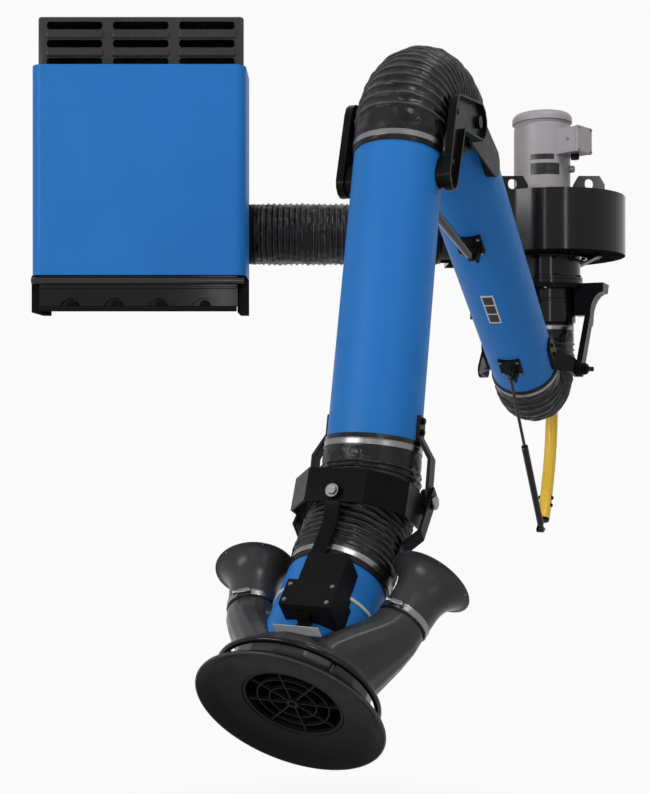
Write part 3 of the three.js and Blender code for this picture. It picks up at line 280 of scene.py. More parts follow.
def hose_rubber():
    """Coated cloth: deep creases, an uneven sheen and wire ridges. The creases are painted darker with
    the bump as painted shade, and the ridges are painted lighter as a painted highlight.
    """
    made, tree, shader = new_finish("hose_rubber")
    crease = speckle(tree, 22.0, 3.0, 0.5)
    ridge = added(tree, "Attribute")
    ridge.attribute_name = "ridge"
    # Crests lit up by colour taken from the ridge height: painted highlight.
    painted_highlight = added(tree, "Mix")
    painted_highlight.data_type = "RGBA"
    painted_highlight.inputs["B"].default_value = [c * 12 for c in colours().rubber[:3]] + [1]
    # The same noise as the bump: low creases darker and raised folds lighter, which is painted shade and
    # highlight.
    tree.links.new(tinted(tree, crease, colours().rubber, 0.15, 2.2), painted_highlight.inputs["A"])
    tree.links.new(spread(tree, ridge.outputs["Fac"], 0, 1, 0.55, 1.0), painted_highlight.inputs["Factor"])
    tree.links.new(painted_highlight.outputs["Result"], shader.inputs["Base Color"])
    tree.links.new(spread(tree, crease, 0.22, 0.44), shader.inputs["Roughness"])
    tree.links.new(raised(tree, crease, 1.0, 0.005), shader.inputs["Normal"])
    shader.inputs["IOR"].default_value = 1.27
    return made


def bright_steel():
    """Steel strip with drawn lines along it."""
    made, tree, shader = new_finish("steel")
    lines = speckle(tree, 120.0, 2.0, 0.5, (0.3, 0.3, 2.0))
    tree.links.new(tinted(tree, lines, colours().steel, 0.92, 1.06), shader.inputs["Base Color"])
    tree.links.new(spread(tree, lines, 0.26, 0.34), shader.inputs["Roughness"])
    shader.inputs["Metallic"].default_value = 1.0
    return made


def filter_media():
    """Pleated paper with fibres."""
    made, tree, shader = new_finish("filter_media")
    fibres = speckle(tree, 320.0, 6.0, 0.7)
    tree.links.new(tinted(tree, fibres, colours().media, 0.8, 1.1), shader.inputs["Base Color"])
    tree.links.new(raised(tree, fibres, 0.6, 0.0006), shader.inputs["Normal"])
    shader.inputs["Roughness"].default_value = 0.95
    return made


def coats():
    """The coated finishes: shade, roughness, grain, its depth, drift of shade, index and metal."""
    paint = colours()
    return {
        "blue_paint": (paint.blue, 0.46, 420, 0.00003, (0.96, 1.03), 1.22),
        "black_paint": (paint.black, 0.30, 600, 0.00006, (0.8, 1.3), 1.12),
        "black_plastic": (paint.plastic, 0.34, 900, 0.00008, (0.85, 1.2), 1.10),
        "black_gloss": (paint.black, 0.12, 500, 0.00001, (0.9, 1.15), 1.27),
        "rail_gloss": (paint.black, 0.14, 500, 0.00002, (0.8, 1.3), 1.45),
        "matt_black": (paint.plastic, 0.8, 500, 0.00004, (0.8, 1.3), 1.02),
        "hood_shell": (paint.shell, 0.28, 900, 0.00006, (0.9, 1.1), 1.25),
        "motor_grey": (paint.grey, 0.42, 300, 0.00010, (0.94, 1.05), 1.4),
        "yellow_paint": (paint.yellow, 0.34, 350, 0.00008, (0.92, 1.06), 1.4),
        "pale_seal": (paint.pale, 0.5, 500, 0.00005, (0.93, 1.06), 1.45),
        "fan_metal": ((0.5, 0.5, 0.51, 1), 0.45, 220, 0.0002, (0.85, 1.1), 1.45, 0.9),
        "dark_rod": ((0.018, 0.018, 0.020, 1), 0.25, 500, 0.00001, (0.9, 1.1), 1.3),
        "dark_label": ((0.02, 0.02, 0.022, 1), 0.3, 700, 0.00002, (0.9, 1.1), 1.3),
    }


WORKED = {"hose_rubber": hose_rubber, "steel": bright_steel, "filter_media": filter_media}


def finish_of(slot):
    made = bpy.data.materials.get(slot + "_finish")
    if made:
        return made
    return WORKED[slot]() if slot in WORKED else coated(slot, *coats()[slot])


# Modelling moves


def clear_selection():
    current = bpy.context.view_layer.objects.active
    if current and current.mode != "OBJECT":
        bpy.ops.object.mode_set(mode="OBJECT")
    bpy.ops.object.select_all(action="DESELECT")


def only(piece):
    clear_selection()
    piece.select_set(True)
    bpy.context.view_layer.objects.active = piece


def edit_all():
    bpy.ops.object.mode_set(mode="EDIT")
    bpy.ops.mesh.select_mode(type="VERT")
    bpy.ops.mesh.select_all(action="SELECT")


def clean_skin():
    """Merges doubled points and turns every face outwards."""
    bpy.ops.mesh.select_all(action="SELECT")
    bpy.ops.mesh.remove_doubles(threshold=0.00001)
    bpy.ops.mesh.normals_make_consistent(inside=False)
    bpy.ops.object.mode_set(mode="OBJECT")


def traced(name, points):
    """A chain of points, drawn by extruding one point on."""
    clear_selection()
    bpy.ops.mesh.primitive_plane_add(size=0.001, location=(0, 0, 0))
    piece = bpy.context.object
    piece.name = name
    edit_all()
    bpy.ops.mesh.merge(type="CENTER")
    spots = [Vector(p) for p in points]
    bpy.ops.transform.translate(value=spots[0])
    for here, there in zip(spots, spots[1:]):
        bpy.ops.mesh.extrude_vertices_move(TRANSFORM_OT_translate={"value": there - here})
    return piece


def turned(name, profile, sides=None):
    """A profile of (radius, height) spun about z. A closed profile repeats its first point."""
    piece = traced(name, [(r, 0, z) for r, z in profile])
    bpy.ops.mesh.select_all(action="SELECT")
    bpy.ops.mesh.spin(steps=sides or sizes().sides, angle=2 * pi, center=(0, 0, 0), axis=(0, 0, 1))
    clean_skin()
    return piece


def ring(name, inside, outside, low, high, sides=None):
    corner = (inside, low)
    return turned(name, [corner, (outside, low), (outside, high), (inside, high), corner], sides)


def barrel(name, radius, low, high, sides=32):
    return turned(name, [(0, low), (radius, low), (radius, high), (0, high)], sides)


def slab(name, outline, depth):
    """A closed outline of points filled and pushed along a vector."""
    piece = traced(name, outline)
    bpy.ops.mesh.select_all(action="SELECT")
    bpy.ops.mesh.edge_face_add()
    bpy.ops.mesh.select_all(action="SELECT")
    bpy.ops.mesh.extrude_region_move(TRANSFORM_OT_translate={"value": depth})
    clean_skin()
    return piece


def brick(name, low, high):
    """A block between two corners."""
    clear_selection()
    bpy.ops.mesh.primitive_cube_add(size=1)
    piece = bpy.context.object
    piece.name = name
    piece.scale = Vector(high) - Vector(low)
    piece.location = (Vector(high) + Vector(low)) / 2
    bpy.ops.object.transform_apply(location=True, rotation=True, scale=True)
    return piece


def modify(piece, kind, **settings):
    only(piece)
    modifier = piece.modifiers.new(kind.lower(), kind)
    for key, value in settings.items():
        setattr(modifier, key, value)
    bpy.ops.object.modifier_apply(modifier=modifier.name)
    return piece


def rounded(piece, width, segments, angle=30):
    sharp = radians(angle)
    return modify(
        piece, "BEVEL", width=width, segments=segments, limit_method="ANGLE", angle_limit=sharp
    )


def soften(piece, width=None, segments=2, angle=32):
    """Rounds the sharp edges, smooths the rest and lets the broad faces shade flat."""
    rounded(piece, width or sizes().edge, segments, angle)
    return modify(smooth(piece), "WEIGHTED_NORMAL", mode="FACE_AREA", keep_sharp=True)


def smooth(piece, angle=30):
    only(piece)
    bpy.ops.object.shade_smooth_by_angle(angle=radians(angle))
    return piece


def carve(piece, cutter, keep="DIFFERENCE"):
    modify(piece, "BOOLEAN", operation=keep, object=cutter, solver="EXACT")
    bpy.data.objects.remove(cutter)
    return piece


def follow(piece, path):
    """Bends a piece along z to a curve."""
    modify(piece, "CURVE", object=path, deform_axis="POS_Z")
    bpy.data.objects.remove(path)
    return piece


def merged(name, pieces):
    """Several pieces as one object."""
    clear_selection()
    for piece in pieces:
        piece.select_set(True)
    bpy.context.view_layer.objects.active = pieces[0]
    bpy.ops.object.join()
    pieces[0].name = name
    return pieces[0]


def moved(piece, place):
    """Puts a piece made at the origin into a frame, with its place in its mesh."""
    only(piece)
    piece.matrix_world = place
    bpy.ops.object.transform_apply(location=True, rotation=True, scale=True)
    return piece


def copied(piece, name, place):
    only(piece)
    bpy.ops.object.duplicate()
    twin = bpy.context.object
    twin.name = name
    return moved(twin, place)


def repeated(piece, places):
    """Copies of a piece at several places, in its stead."""
    twins = [copied(piece, piece.name, place) for place in places]
    bpy.data.objects.remove(piece)
    return twins


def settle(piece, body, slot, *nodes, finish=None):
    """Gives a piece its finish and its body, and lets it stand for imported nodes."""
    if not piece.data.materials:
        piece.data.materials.append(finish_of(finish or slot))
    if nodes:
        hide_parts(*nodes)
    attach(piece, body)
    return piece


def stand_for(node, piece, slot, finish=None):
    """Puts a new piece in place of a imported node, on that node's body."""
    return settle(piece, BODY_OF[node], slot, node, finish=finish)


def painted(piece, slot):
    piece.data.materials.clear()
    piece.data.materials.append(finish_of(slot))
    return piece


def twin_of(node):
    """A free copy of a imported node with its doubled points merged."""
    only(frame["nodes"][node])
    bpy.ops.object.duplicate()
    piece = bpy.context.object
    piece.name = node + "_dressed"
    piece.parent = None
    for key in list(piece.keys()):
        del piece[key]
    edit_all()
    bpy.ops.mesh.remove_doubles(threshold=0.00002)
    bpy.ops.mesh.select_all(action="SELECT")
    bpy.ops.mesh.dissolve_limited(angle_limit=radians(1))
    bpy.ops.object.mode_set(mode="OBJECT")
    return piece


def dressed(node, finish, width=None, angle=34, also=(), slot=None):
    """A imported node's own shape with rounded edges and a finish."""
    piece = soften(twin_of(node), width, 2, angle)
    painted(piece, finish)
    if also:
        merged(piece.name, [piece, *also])
    return stand_for(node, piece, slot or finish)


def drawn(spots):
    """A curve through points, to bend a straight piece along."""
    data = bpy.data.curves.new("path", "CURVE")
    data.dimensions = "3D"
    data.twist_mode = "MINIMUM"
    line = data.splines.new("POLY")
    line.points.add(len(spots) - 1)
    for point, spot in zip(line.points, spots):
        point.co = (*spot, 1)
    path = bpy.data.objects.new("path", data)
    bpy.context.scene.collection.objects.link(path)
    return path


def through(knots, steps):
    """Points on a smooth line through knots in a plane."""
    ends = [knots[0], *knots, knots[-1]]
    spots = []
    for a, b, c, d in zip(ends, ends[1:], ends[2:], ends[3:]):
        for i in range(steps):
            t = i / steps
            weights = [-t * (1 - t) ** 2, 2 - 5 * t * t + 3 * t ** 3]
            weights += [t + 4 * t * t - 3 * t ** 3, -t * t * (1 - t)]
            pairs = list(zip(weights, (a, b, c, d)))
            spots.append(tuple(sum(w * p[k] for w, p in pairs) / 2 for k in (0, 1)))
    return [*spots, knots[-1]]


def axis_frame(place, way):
    """A frame at a place with z along a direction."""
    turn = Vector(way).to_track_quat("Z", "Y").to_matrix().to_4x4()
    return shift(*place) @ turn


def horn_frame(sign):
    """The frame of a horn's neck, with z up its bell."""
    return HOOD @ shift(0, sign * HORN_SIDE, HORN_DOWN) @ spun(sign * (pi + HORN_TILT), "X")


def around(radius, height, count, way, start=0.0):
    """Places set round the z axis, each with the same direction."""
    turns = [start + 2 * pi * i / count for i in range(count)]
    return [((radius * cos(a), radius * sin(a), height), way) for a in turns]


def curved_plate(name, radius, low, high, start, stop):
    """A thin plate bent round the z axis between two angles."""
    outside = radius + 0.001
    plate = ring(name, radius, outside, low, high)
    half = outside * sin((stop - start) / 2)
    window = moved(brick("window", (0, -half, 0), (1, half, 1)), spun((start + stop) / 2, "Z"))
    return smooth(carve(plate, window, keep="INTERSECT"))


def fasteners(name, size, place, spots, body, slot="steel"):
    """Hexagon heads on washers at (place, direction) spots of a frame, as one piece."""
    washer = barrel(name, size * 1.3, -size * 0.1, size * 0.2, 16)
    head = soften(barrel(name + "_head", size, size * 0.1, size * 0.85, 6), size * 0.12, 1)
    bolt = merged(name, [smooth(washer), head])
    twins = repeated(bolt, [place @ axis_frame(spot, way) for spot, way in spots])
    return settle(merged(name, twins), body, slot)


def shade_undersides(piece):
    """Gives the faces that look down the matt finish, so that undersides show no reflection and read
    dark: painted shade.
    """
    piece.data.materials.append(finish_of("matt_black"))
    matt = len(piece.data.materials) - 1
    for face in piece.data.polygons:
        if face.normal.z < -0.9:
            face.material_index = matt


# Pieces


class EXTRACTOR_OT_stage(bpy.types.Operator):
    """Adds the camera, lamps, floor and surroundings"""

    bl_idname = "extractor.stage"
    bl_label = "Stage"

    def execute(self, context):
        scene = context.scene
        scene.view_settings.view_transform = "Standard"
        lens = bpy.data.cameras.new("photo_camera")
        lens.sensor_width = SENSOR
        lens.lens = SENSOR * CAMERA_FOCAL / PHOTO_HEIGHT
        camera = bpy.data.objects.new("photo_camera", lens)
        camera.location = CAMERA_PLACE
        camera.rotation_euler = (pi / 2, 0, 0)
        scene.collection.objects.link(camera)
        scene.camera = camera
        self.lamp("key", (-7.0, -6.6, 2.3), (-0.7, -0.9, -0.2), 310, 4.2, 1.5)
        self.lamp("left_strip", (-1.55, -6.0, 0.2), (-1.0, -0.6, 0.0), 10, 0.2, 2.4)
        self.lamp("right_strip", (1.55, -6.0, 0.2), (0.0, -0.3, 0.0), 24, 0.35, 2.4)
        self.lamp("top", (0.7, -3.0, 3.3), (-0.6, -0.9, -0.3), 76, 1.3, 1.3)
        self.surroundings(scene)
        clear_selection()
        bpy.ops.mesh.primitive_plane_add(size=60, location=(-0.7, -0.9, CAD_BOX[0][2] - FLOOR_DROP))
        floor = bpy.context.object
        floor.name = "floor"
        floor.data.materials.append(self.floor_finish())
        return {"FINISHED"}

    def lamp(self, name, place, target, power, wide, tall):
        data = bpy.data.lights.new(name, "AREA")
        data.energy = power
        data.shape = "RECTANGLE"
        data.size = wide
        data.size_y = tall
        lamp = bpy.data.objects.new(name, data)
        lamp.location = place
        way = Vector(target) - Vector(place)
        lamp.rotation_euler = way.to_track_quat("-Z", "Y").to_euler()
        bpy.context.scene.collection.objects.link(lamp)

    def surroundings(self, scene):
        """A soft sky that lights the object, behind a plain pale background."""
        world = bpy.data.worlds.new("surroundings")
        scene.world = world
        world.use_nodes = True
        tree = world.node_tree
        shine = tree.nodes["Background"]
        shine.inputs["Color"].default_value = (0.80, 0.81, 0.83, 1)
        sky = added(tree, "TexCoord")
        toward = added(tree, "VectorMath", {1: (-0.62, -0.36, 0.70)})
        toward.operation = "DOT_PRODUCT"
        tree.links.new(sky.outputs["Generated"], toward.inputs[0])
        level = spread(tree, toward.outputs["Value"], 0.10, 0.30, -0.6, 0.9)
        tree.links.new(level, shine.inputs["Strength"])
        seen = added(tree, "Background", {"Color": colours().backdrop, "Strength": 1.0})
        shown = self.seen_rays(tree)
        self.mixed(tree, shown, shine.outputs[0], seen.outputs[0], tree.nodes["World Output"])

    def mixed(self, tree, share, first, second, output):
        mixer = added(tree, "MixShader")
        for socket, source in enumerate((share, first, second)):
            tree.links.new(source, mixer.inputs[socket])
        tree.links.new(mixer.outputs["Shader"], output.inputs["Surface"])

    def combined(self, tree, operation, first, second):
        result = added(tree, "Math")
        result.operation = operation
        tree.links.new(first, result.inputs[0])
        tree.links.new(second, result.inputs[1])
        return result.outputs["Value"]

    def seen_rays(self, tree):
        """One for rays that look at the background: from the camera, off a gloss or through glass."""
        path = added(tree, "LightPath")
        found = path.outputs["Is Camera Ray"]
        for kind in ("Is Glossy Ray", "Is Transmission Ray"):
            found = self.combined(tree, "MAXIMUM", found, path.outputs[kind])
        return found

    def floor_finish(self):
        """A pale floor that keeps the shadow below the object and fades into the surroundings."""
        made, tree, shader = new_finish("floor")
        shade = tinted(tree, speckle(tree, 3.0), colours().backdrop, 0.98, 1.01)
        tree.links.new(shade, shader.inputs["Base Color"])
        shader.inputs["Roughness"].default_value = 0.9
        shader.inputs["Specular IOR Level"].default_value = 0.1
        place = added(tree, "TexCoord")
        away = added(tree, "VectorMath")
        away.operation = "LENGTH"
        tree.links.new(place.outputs["Object"], away.inputs[0])
        far = spread(tree, away.outputs["Value"], 0.7, 1, 0.3, 1.5)
        glow = added(tree, "Emission", {"Color": colours().backdrop})
        seen = self.combined(tree, "MULTIPLY", far, self.seen_rays(tree))
        self.mixed(tree, seen, shader.outputs[0], glow.outputs[0], tree.nodes["Material Output"])
        return made


class EXTRACTOR_OT_tubes(bpy.types.Operator):
    """Makes the painted arm tubes, the hood's neck and its pale seal"""

    bl_idname = "extractor.tubes"
    bl_label = "Tubes and neck"

    def execute(self, context):
        r = sizes().tube_radius
        inside = r - sizes().tube_wall
        runs = {
            "inner_tube": (INNER, -TUBE_TUCK, INNER_LENGTH + TUBE_TUCK),
            "outer_tube": (OUTER, -TUBE_TUCK, OUTER_LENGTH + TUBE_TUCK),
            "neck_upper": (HOOD, NECK_TOP, SEAM - 0.004),
            "neck_lower": (HOOD, SEAM + 0.004, NECK_END - 0.0003),
        }
        for node, (place, low, high) in runs.items():
            shell = painted(soften(ring(node + "_round", inside, r, low, high), 0.0005), "blue_paint")
            # A black sleeve inside each tube and neck, so that the inside looks dark through the grille
            # and the open ends: painted shade.
            shade_liner = ring(node + "_liner", inside - 0.0004, inside + 0.0005, low + 0.001, high - 0.001)
            piece = merged(shell.name, [shell, painted(smooth(shade_liner), "black_paint")])
            stand_for(node, moved(piece, place), "blue_paint")
        plate = painted(curved_plate("tube_plate", r - 0.0002, 0.341, 0.463, -0.18, 0.18), "pale_seal")
        fields = []
        for z in (0.347, 0.3855, 0.424):
            field = curved_plate("plate_field", r + 0.0002, z, z + 0.033, -0.14, 0.14)
            fields.append(painted(field, "dark_label"))
        settle(moved(merged("tube_plate", [plate, *fields]), INNER), "inner_arm", "pale_seal")
        seal = ring("swivel_seal_round", r - 0.004, r + 0.003, SEAM - 0.0037, SEAM + 0.0037)
        stand_for("swivel_seal", moved(soften(seal, 0.0015, 3), HOOD), "pale_seal")
        return {"FINISHED"}


class EXTRACTOR_OT_hoses(bpy.types.Operator):
    """Makes the ribbed hoses of the duct, shoulder, elbow and hood"""

    bl_idname = "extractor.hoses"
    bl_label = "Ribbed hoses"

    def execute(self, context):
        duct = self.hose("duct_hose", DUCT, DUCT_END - DUCT_START, 0, 0, 0, 1, 30)
        stand_for("duct_hose", duct, "hose_rubber")

        collar = ARM @ shift(0, 0, COLLAR_BOTTOM) @ spun(pi, "X")
        drop = CORNER_DROP - LOWER_TANGENT
        rise = LOWER_STRAIGHT + CUFF
        low = self.hose("shoulder_hose", collar, drop, LOWER_BEND, LOWER_TURN, rise, 1, 17, PLAIN, PLAIN)
        self.across(low, "shoulder_hose", "swivel", "inner_arm", (0, COLLAR_BOTTOM), INNER_START)

        tip = INNER @ shift(0, 0, INNER_LENGTH)
        bend = self.hose("elbow_hose", tip, CUFF, ELBOW_BEND, ELBOW_TURN, CUFF, 1, 18, PLAIN, PLAIN)
        self.across(bend, "elbow_hose", "inner_arm", "outer_arm", INNER_END, OUTER_START)

        end = OUTER @ shift(0, 0, OUTER_LENGTH)
        straight = WRIST_STRAIGHT
        neck = self.hose("hood_hose", end, straight, WRIST_BEND, WRIST_TURN, WRIST_END, -1, 17, PLAIN)
        neck_top = slide_along(WRIST, HOOD_WAY, NECK_START)
        self.across(neck, "hood_hose", "outer_arm", "hood_frame", OUTER_END, neck_top, 0.2, 0.7)
        return {"FINISHED"}

    def across(self, piece, node, first, second, start, end, low=0.36, high=0.64):
        """Gives a hose its finish, hides the imported node and bakes its place into its mesh."""
        piece.data.materials.append(finish_of("hose_rubber"))
        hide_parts(node)
        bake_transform(piece)

    def hose(self, node, place, start, bend, turn, end, side, ribs, near=PLAIN_SHORT, far=PLAIN_SHORT):
        """A straight ribbed hose, drawn along its bend and creased."""
        long = start + bend * turn + end
        piece = turned(node + "_ribbed", self.profile(long, ribs, near, far), 120)
        self.mark_ridges(piece, long)
        slack = piece.vertex_groups.new(name="slack")
        for v in piece.data.vertices:
            edge = min(v.co.z, long - v.co.z)
            if edge > 0.85 * CUFF:
                slack.add([v.index], 1.0 if edge > CUFF else 0.55, "REPLACE")
        if turn:
            follow(piece, self.path(start, bend, turn, end, side))
        for kind, scale, depth in (("CLOUDS", 0.040, 0.0052), ("VORONOI", 0.024, 0.0034)):
            creases = bpy.data.textures.new(f"{node}_{kind}", kind)
            creases.noise_scale = scale
            settings = {"texture": creases, "strength": depth, "mid_level": 0.36}
            modify(piece, "DISPLACE", vertex_group="slack", **settings)
        smooth(piece, 70)
        return moved(piece, place)

    def mark_ridges(self, piece, long):
        """Stores how far each point of the ribbed part stands up toward a wire ridge, which the hose
        finish uses to paint a highlight on the crests.
        """
        low = sizes().valley_radius
        high = sizes().crest_radius
        ribbed = [CUFF < v.co.z < long - CUFF for v in piece.data.vertices]
        rises = [(hypot(v.co.x, v.co.y) - low) / (high - low) for v in piece.data.vertices]
        ridge = piece.data.attributes.new("ridge", "FLOAT", "POINT")
        ridge.data.foreach_set("value", [rise if inside else 0 for rise, inside in zip(rises, ribbed)])

    def profile(self, long, ribs, near, far):
        """Plain cuffs, then a wire ridge and a slack fold for every rib, and the bore back down."""
        cuff = sizes().cuff_radius
        crest = sizes().crest_radius
        valley = sizes().valley_radius
        bore = sizes().tube_radius + 0.0003
        first = CUFF + near
        pitch = (long - first - CUFF - far) / ribs
        fold = [(0, 0), (0.18, 0.06), (0.33, 0.24), (0.42, 0.72), (0.5, 1)]
        fold += [(0.58, 0.72), (0.67, 0.24), (0.82, 0.06)]
        line = [(bore, 0), (cuff - 0.001, 0), (cuff, 0.001), (cuff, 0.026), (cuff - 0.0008, CUFF * 0.9)]
        line += [(valley + 0.0008, CUFF + near * i / 6) for i in range(6)]
        for i in range(ribs):
            z = first + i * pitch
            line += [(valley + rise * (crest - valley), z + t * pitch) for t, rise in fold]
        line += [(valley + 0.0008, long - CUFF - far * i / 6) for i in range(6, -1, -1)]
        line += [(cuff - 0.0008, long - CUFF * 0.9), (cuff, long - 0.026)]
        line += [(cuff, long - 0.001), (cuff - 0.001, long), (bore, long)]
        inner = valley - 0.0014
        line += [(bore, long - CUFF * 0.9), (inner, long - CUFF * 1.1)]
        line += [(inner, first + (ribs - i - 0.5) * pitch) for i in range(ribs)]
        return line + [(inner, CUFF * 1.1), (bore, CUFF * 0.9), (bore, 0)]

    def path(self, start, bend, turn, end, side):
        """The hose's middle line in the xz plane."""
        points = [(0, 0)]
        steps = 48
        for i in range(steps + 1):
            phi = turn * i / steps
            points.append((side * bend * (1 - cos(phi)), start + bend * sin(phi)))
        last = points[-1]
        points.append((last[0] + side * end * sin(turn), last[1] + end * cos(turn)))
        return drawn([(x, 0, z) for x, z in points])


class EXTRACTOR_OT_clamps(bpy.types.Operator):
    """Makes the worm-drive bands round the hose ends and horn necks"""

    bl_idname = "extractor.clamps"
    bl_label = "Band clamps"

    def execute(self, context):
        inside = sizes().cuff_radius + 0.0003
        half = CUFF / 2
        places = {
            "duct_clamp_left": (DUCT, half, 90),
            "duct_clamp_right": (DUCT, DUCT_END - DUCT_START - half, 90),
            "collar_clamp": (ARM, COLLAR_BOTTOM - half, 180),
            "inner_clamp_low": (INNER, -half, 180),
            "outer_clamp_high": (OUTER, -half, 0),
            "outer_clamp_low": (OUTER, OUTER_LENGTH + half, 0),
            "neck_clamp": (HOOD, NECK_START - half, 0),
        }
        for node, (place, z, screw) in places.items():
            at = place @ shift(0, 0, z) @ spun(radians(screw), "Z")
            slot = "black_paint" if place is DUCT else "steel"
            stand_for(node, moved(self.band(node + "_band", inside), at), slot)
        for side, sign in SIDES:
            at = horn_frame(sign) @ shift(0, 0, 0.0085) @ spun(pi, "Z")
            node = f"horn_clamp_{side}"
            stand_for(node, moved(self.band(node + "_band", 0.0503), at), "steel")
        return {"FINISHED"}

    def band(self, name, inside):
        """A worm-drive band with its housing and screw on +x."""
        half = sizes().clamp_width / 2
        groove = inside + 0.0010
        lip = inside + 0.0016
        bead = inside + 0.0017
        line = [(inside, -half), (lip, -half), (bead, 0.0012 - half), (groove, 0.0022 - half)]
        line += [(groove, half - 0.0022), (bead, half - 0.0012), (lip, half), (inside, half)]
        strip = smooth(turned(name, line + [(inside, -half)], 96), 25)
        low = (inside - 0.0002, -0.013, -0.0052)
        housing = soften(brick(name + "_housing", low, (inside + 0.0092, 0.011, 0.0052)), 0.0022, 3)
        screw = barrel(name + "_screw", 0.0042, -0.021, 0.0138, 20)
        head = barrel(name + "_head", 0.0056, -0.0225, -0.018, 6)
        lie = shift(inside + 0.0052, 0, 0) @ LAID
        for part in (screw, head):
            moved(soften(part, 0.0005, 1), lie)
        return merged(name, [strip, housing, screw, head])


class EXTRACTOR_OT_cabinet(bpy.types.Operator):
    """Dresses the filter cabinet: cover, chassis, filter, dust tray and louvred outlet"""

    bl_idname = "extractor.cabinet"
    bl_label = "Filter cabinet"

    def execute(self, context):
        dressed("cabinet_cover", "blue_paint", 0.0009)
        dressed("cabinet_chassis", "matt_black", 0.0010, slot="black_paint")
        dressed("filter_pack", "filter_media", 0.0008)
        self.tray()
        self.louvre()
        spots = [((x, -0.524, 0.5275), (0, 0, 1)) for x in (-1.62, -1.51, -1.345, -1.19, -1.075)]
        fasteners("cover_screws", 0.0045, BASE, spots, "base")
        spots = [((x, -0.0205, z), (0, 1, 0)) for x in (-1.63, -1.06) for z in (-0.12, 0.16, 0.48)]
        fasteners("back_screws", 0.006, BASE, spots, "base")
        return {"FINISHED"}

    def tray(self):
        """The dust tray with its moulded top rail, lip and foot rail, and dark matt discs above it set in
        the finger recesses as painted shade.
        """
        left, right, front = -1.698, -0.995, -0.580
        line = [(0, 0), (0.009, 0), (0.0118, 0.003), (0.0118, 0.692), (0.009, 0.695), (0, 0.695)]
        along = shift(left + 0.004, front + 0.006, -0.180) @ spun(pi / 2, "Y")
        rail = smooth(moved(turned("tray_rail", line, 28), along))
        low = (left + 0.030, front + 0.002, -0.206)
        lip = soften(brick("tray_lip", low, (right - 0.030, front + 0.012, -0.198)), 0.002)
        low = (left + 0.029, front + 0.001, -0.2805)
        foot = soften(brick("tray_foot_rail", low, (right - 0.029, front + 0.013, -0.2625)), 0.004, 3)
        also = [painted(rail, "rail_gloss"), painted(lip, "black_gloss"), painted(foot, "black_plastic")]
        # Dark matt discs where the finger recesses fall in shade: painted shade.
        recess_shade = painted(barrel("finger_recess_shade", 0.0175, 0.004, 0.010, 40), "matt_black")
        spots = [(x, front + 0.014, -0.2605) for x in (-1.563, -1.418, -1.273, -1.128)]
        also += repeated(recess_shade, [axis_frame(spot, (0, -1, 0)) for spot in spots])
        # The tray's undersides in matt: painted shade.
        shade_undersides(dressed("dust_tray", "black_gloss", 0.0022, also=also, slot="black_plastic"))

    def louvre(self):
        """The outlet box: a hollow cap with nine rounded slots and bulged bars between them."""
        left, right, front, back, low, top = -1.688, -1.005, -0.520, -0.120, 0.5263, 0.702
        plan = [(left, front), (right, front), (right - 0.030, back), (left + 0.030, back)]
        cap = slab("outlet_louvre_cap", [(x, y, low - 0.012) for x, y in plan], (0, 0, top - low + 0.012))
        rounded(cap, 0.010, 4, 40)
        trim = brick("trim", (left - 0.01, front - 0.01, low - 0.03), (right + 0.01, back + 0.01, low))
        carve(cap, trim)
        skin = 0.004
        inner = [(left + skin, front + skin), (right - skin, front + skin)]
        inner += [(right - 0.030 - skin, back - 0.008), (left + 0.030 + skin, back - 0.008)]
        floor = [(x, y, low - 0.02) for x, y in inner]
        carve(cap, slab("cavity", floor, (0, 0, top - low + 0.02 - skin)))
        wide = (right - left - 0.130) / 3
        bars = []
        for column in range(3):
            start = left + 0.030 + column * (wide + 0.035)
            stop = start + wide
            for row in range(3):
                z = 0.538 + 0.060 * row
                slot = brick("slot", (start, front - 0.02, z), (stop, front + 0.02, z + 0.026))
                carve(cap, rounded(slot, 0.0105, 4))
                if row < 2:
                    under = (start - 0.004, front - 0.006, z + 0.029)
                    bar = brick("bar", under, (stop + 0.004, front + 0.01, z + 0.057))
                    bars.append(soften(bar, 0.0075, 4))
        piece = merged(cap.name, [smooth(cap, 40), *bars])
        stand_for("outlet_louvre", piece, "black_plastic", "hood_shell")


